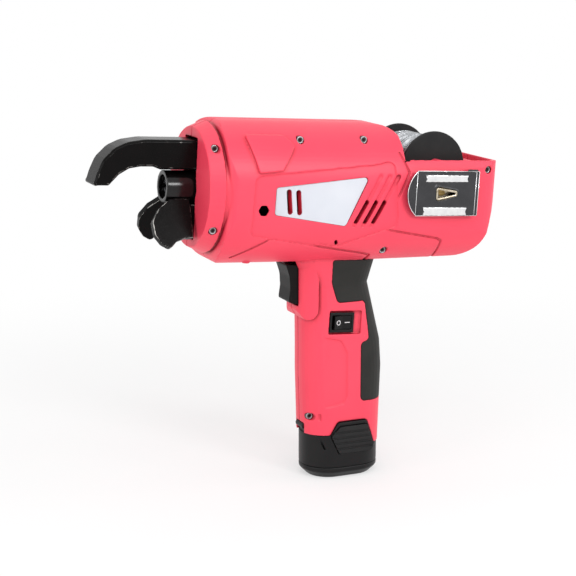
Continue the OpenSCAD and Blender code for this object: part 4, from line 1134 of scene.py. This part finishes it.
@dataclass
class Studio:
    """White floor and room, soft lights and the photograph's camera.

    Attributes:
        target: Point of the part at the middle of the picture, in millimetres.
        eye: Place of the camera in millimetres.
        lens: Focal length in millimetres.
        sensor: Width of the camera's sensor in millimetres.
        floor_half: Half width of the floor in metres.
        ambient: Light of the room on the part.
        near: Share of plain white on the floor by the part.
        fade: Distances in metres over which the floor fades to plain white.
        lamps: The lights.
    """

    target: Point = (45.5, 0.0, 161.5)
    eye: Point = (546.6, 1180.4, 438.8)
    lens: float = 100.0
    sensor: float = 36.0
    floor_half: float = 6.0
    ambient: float = 0.45
    near: float = 0.55
    fade: tuple[float, float] = (0.15, 0.8)
    lamps: tuple[Lamp, ...] = (
        Lamp("key", (0.5, 1.3, 1.7), 1.4, 15.0),
        Lamp("front", (1.8, 0.5, 0.7), 1.0, 8.0),
        Lamp("strip", (-0.46, 1.36, 0.85), 0.4, 7.0),
        Lamp("rear", (-1.6, 0.7, 0.9), 1.2, 6.0),
        Lamp("top", (0.0, -0.3, 1.9), 1.6, 5.0),
    )

    def build(self) -> None:
        """Makes the whole stage."""
        bpy.context.scene.view_settings.view_transform = "Standard"
        self.floor()
        self.world()
        for lamp in self.lamps:
            self.light(lamp)
        self.camera()

    def floor(self) -> None:
        """Lays a white floor that keeps the shadow and fades to plain white."""
        def fill(work: BMesh) -> None:
            """Adds one square."""
            bmesh.ops.create_grid(work, x_segments=1, y_segments=1, size=self.floor_half)

        mesh = mesh_from("floor", fill, False)
        floor = bpy.data.objects.new("floor", mesh)
        bpy.context.scene.collection.objects.link(floor)
        material = FLOOR_PAPER.material()
        mesh.materials.append(material)
        tree = material.node_tree
        place = add_node(tree, "ShaderNodeTexCoord").outputs["Object"]
        away = add_node(tree, "ShaderNodeVectorMath", {0: place}, operation="LENGTH").outputs["Value"]
        start, end = self.fade
        ends = {"Value": away, "From Min": start, "From Max": end, "To Min": self.near}
        far = add_node(tree, "ShaderNodeMapRange", ends, interpolation_type="SMOOTHSTEP").outputs[0]
        both = {0: far, 1: self.seen(tree)}
        share = add_node(tree, "ShaderNodeMath", both, operation="MULTIPLY").outputs[0]
        plain = {"Color": linear(WHITE), "Strength": 1.0}
        white = add_node(tree, "ShaderNodeEmission", plain).outputs[0]
        paper = tree.nodes["Principled BSDF"].outputs[0]
        mixed = add_node(tree, "ShaderNodeMixShader", {0: share, 1: paper, 2: white}).outputs[0]
        tree.links.new(mixed, tree.nodes["Material Output"].inputs["Surface"])

    def seen(self, tree: Tree) -> Socket:
        """Tells the rays that see the room from the rays that light the part.

        Args:
            tree: The node tree that asks.

        Returns:
            1 for camera, mirror and glass rays, else 0.
        """
        path = add_node(tree, "ShaderNodeLightPath").outputs
        rays = {0: path["Is Camera Ray"], 1: path["Is Glossy Ray"]}
        first = add_node(tree, "ShaderNodeMath", rays, operation="MAXIMUM").outputs[0]
        rays = {0: first, 1: path["Is Transmission Ray"]}
        return add_node(tree, "ShaderNodeMath", rays, operation="MAXIMUM").outputs[0]

    def world(self) -> None:
        """Lights the part from a white room that is seen as plain white."""
        world = bpy.data.worlds.new("studio")
        world.use_nodes = True
        tree = world.node_tree
        sky = tree.nodes["Background"]
        sky.inputs["Color"].default_value = linear(WHITE)
        ends = {"Value": self.seen(tree), "To Min": self.ambient, "To Max": 1.0}
        level = add_node(tree, "ShaderNodeMapRange", ends).outputs[0]
        tree.links.new(level, sky.inputs["Strength"])
        bpy.context.scene.world = world

    def light(self, lamp: Lamp) -> None:
        """Hangs a softbox that faces the part.

        Args:
            lamp: The softbox.
        """
        data = bpy.data.lights.new(lamp.name, "AREA")
        data.size = lamp.size
        data.energy = lamp.power
        self.aimed(bpy.data.objects.new(lamp.name, data), Vector(lamp.at))

    def camera(self) -> None:
        """Sets the camera where the photograph was taken from."""
        data = bpy.data.cameras.new("photo_camera")
        data.lens = self.lens
        data.sensor_width = self.sensor
        camera = bpy.data.objects.new("photo_camera", data)
        self.aimed(camera, Vector(self.eye) * MM)
        bpy.context.scene.camera = camera

    def aimed(self, holder: Object, at: Vector) -> None:
        """Places a light or camera and aims it at the part.

        Args:
            holder: The light or camera.
            at: Its place in metres.
        """
        holder.location = at
        holder.rotation_euler = (Vector(self.target) * MM - at).to_track_quat("-Z", "Y").to_euler()
        bpy.context.scene.collection.objects.link(holder)


def paint_nodes(frame: dict) -> None:
    """Gives every CAD node the finish of its material slot.

    Args:
        frame: The loaded frame.
    """
    for part in frame["record"]["subparts"]:
        mesh = frame["nodes"][part["node"]].data
        mesh.materials.clear()
        mesh.materials.append(SLOT_FINISHES[part["material_slot"]].material())


def main() -> None:
    """Builds every piece, the stage and the camera."""
    logging.basicConfig(level=logging.INFO)
    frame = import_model()
    paint_nodes(frame)
    nodes = frame["nodes"]
    pieces = [copy.build(nodes) for copy in SOFT_COPIES]
    pieces.append(WireReel().build())
    pieces += [spring.build() for spring in SPRINGS]
    pieces += RockerMarks().build()
    pieces += ClipTrim().build()
    pieces += ScrewHeads().build(nodes)
    for piece in pieces:
        LOG.info("%s: %d faces", piece.name, len(piece.data.polygons))
    Studio().build()


if __name__ == "__main__":
    main()
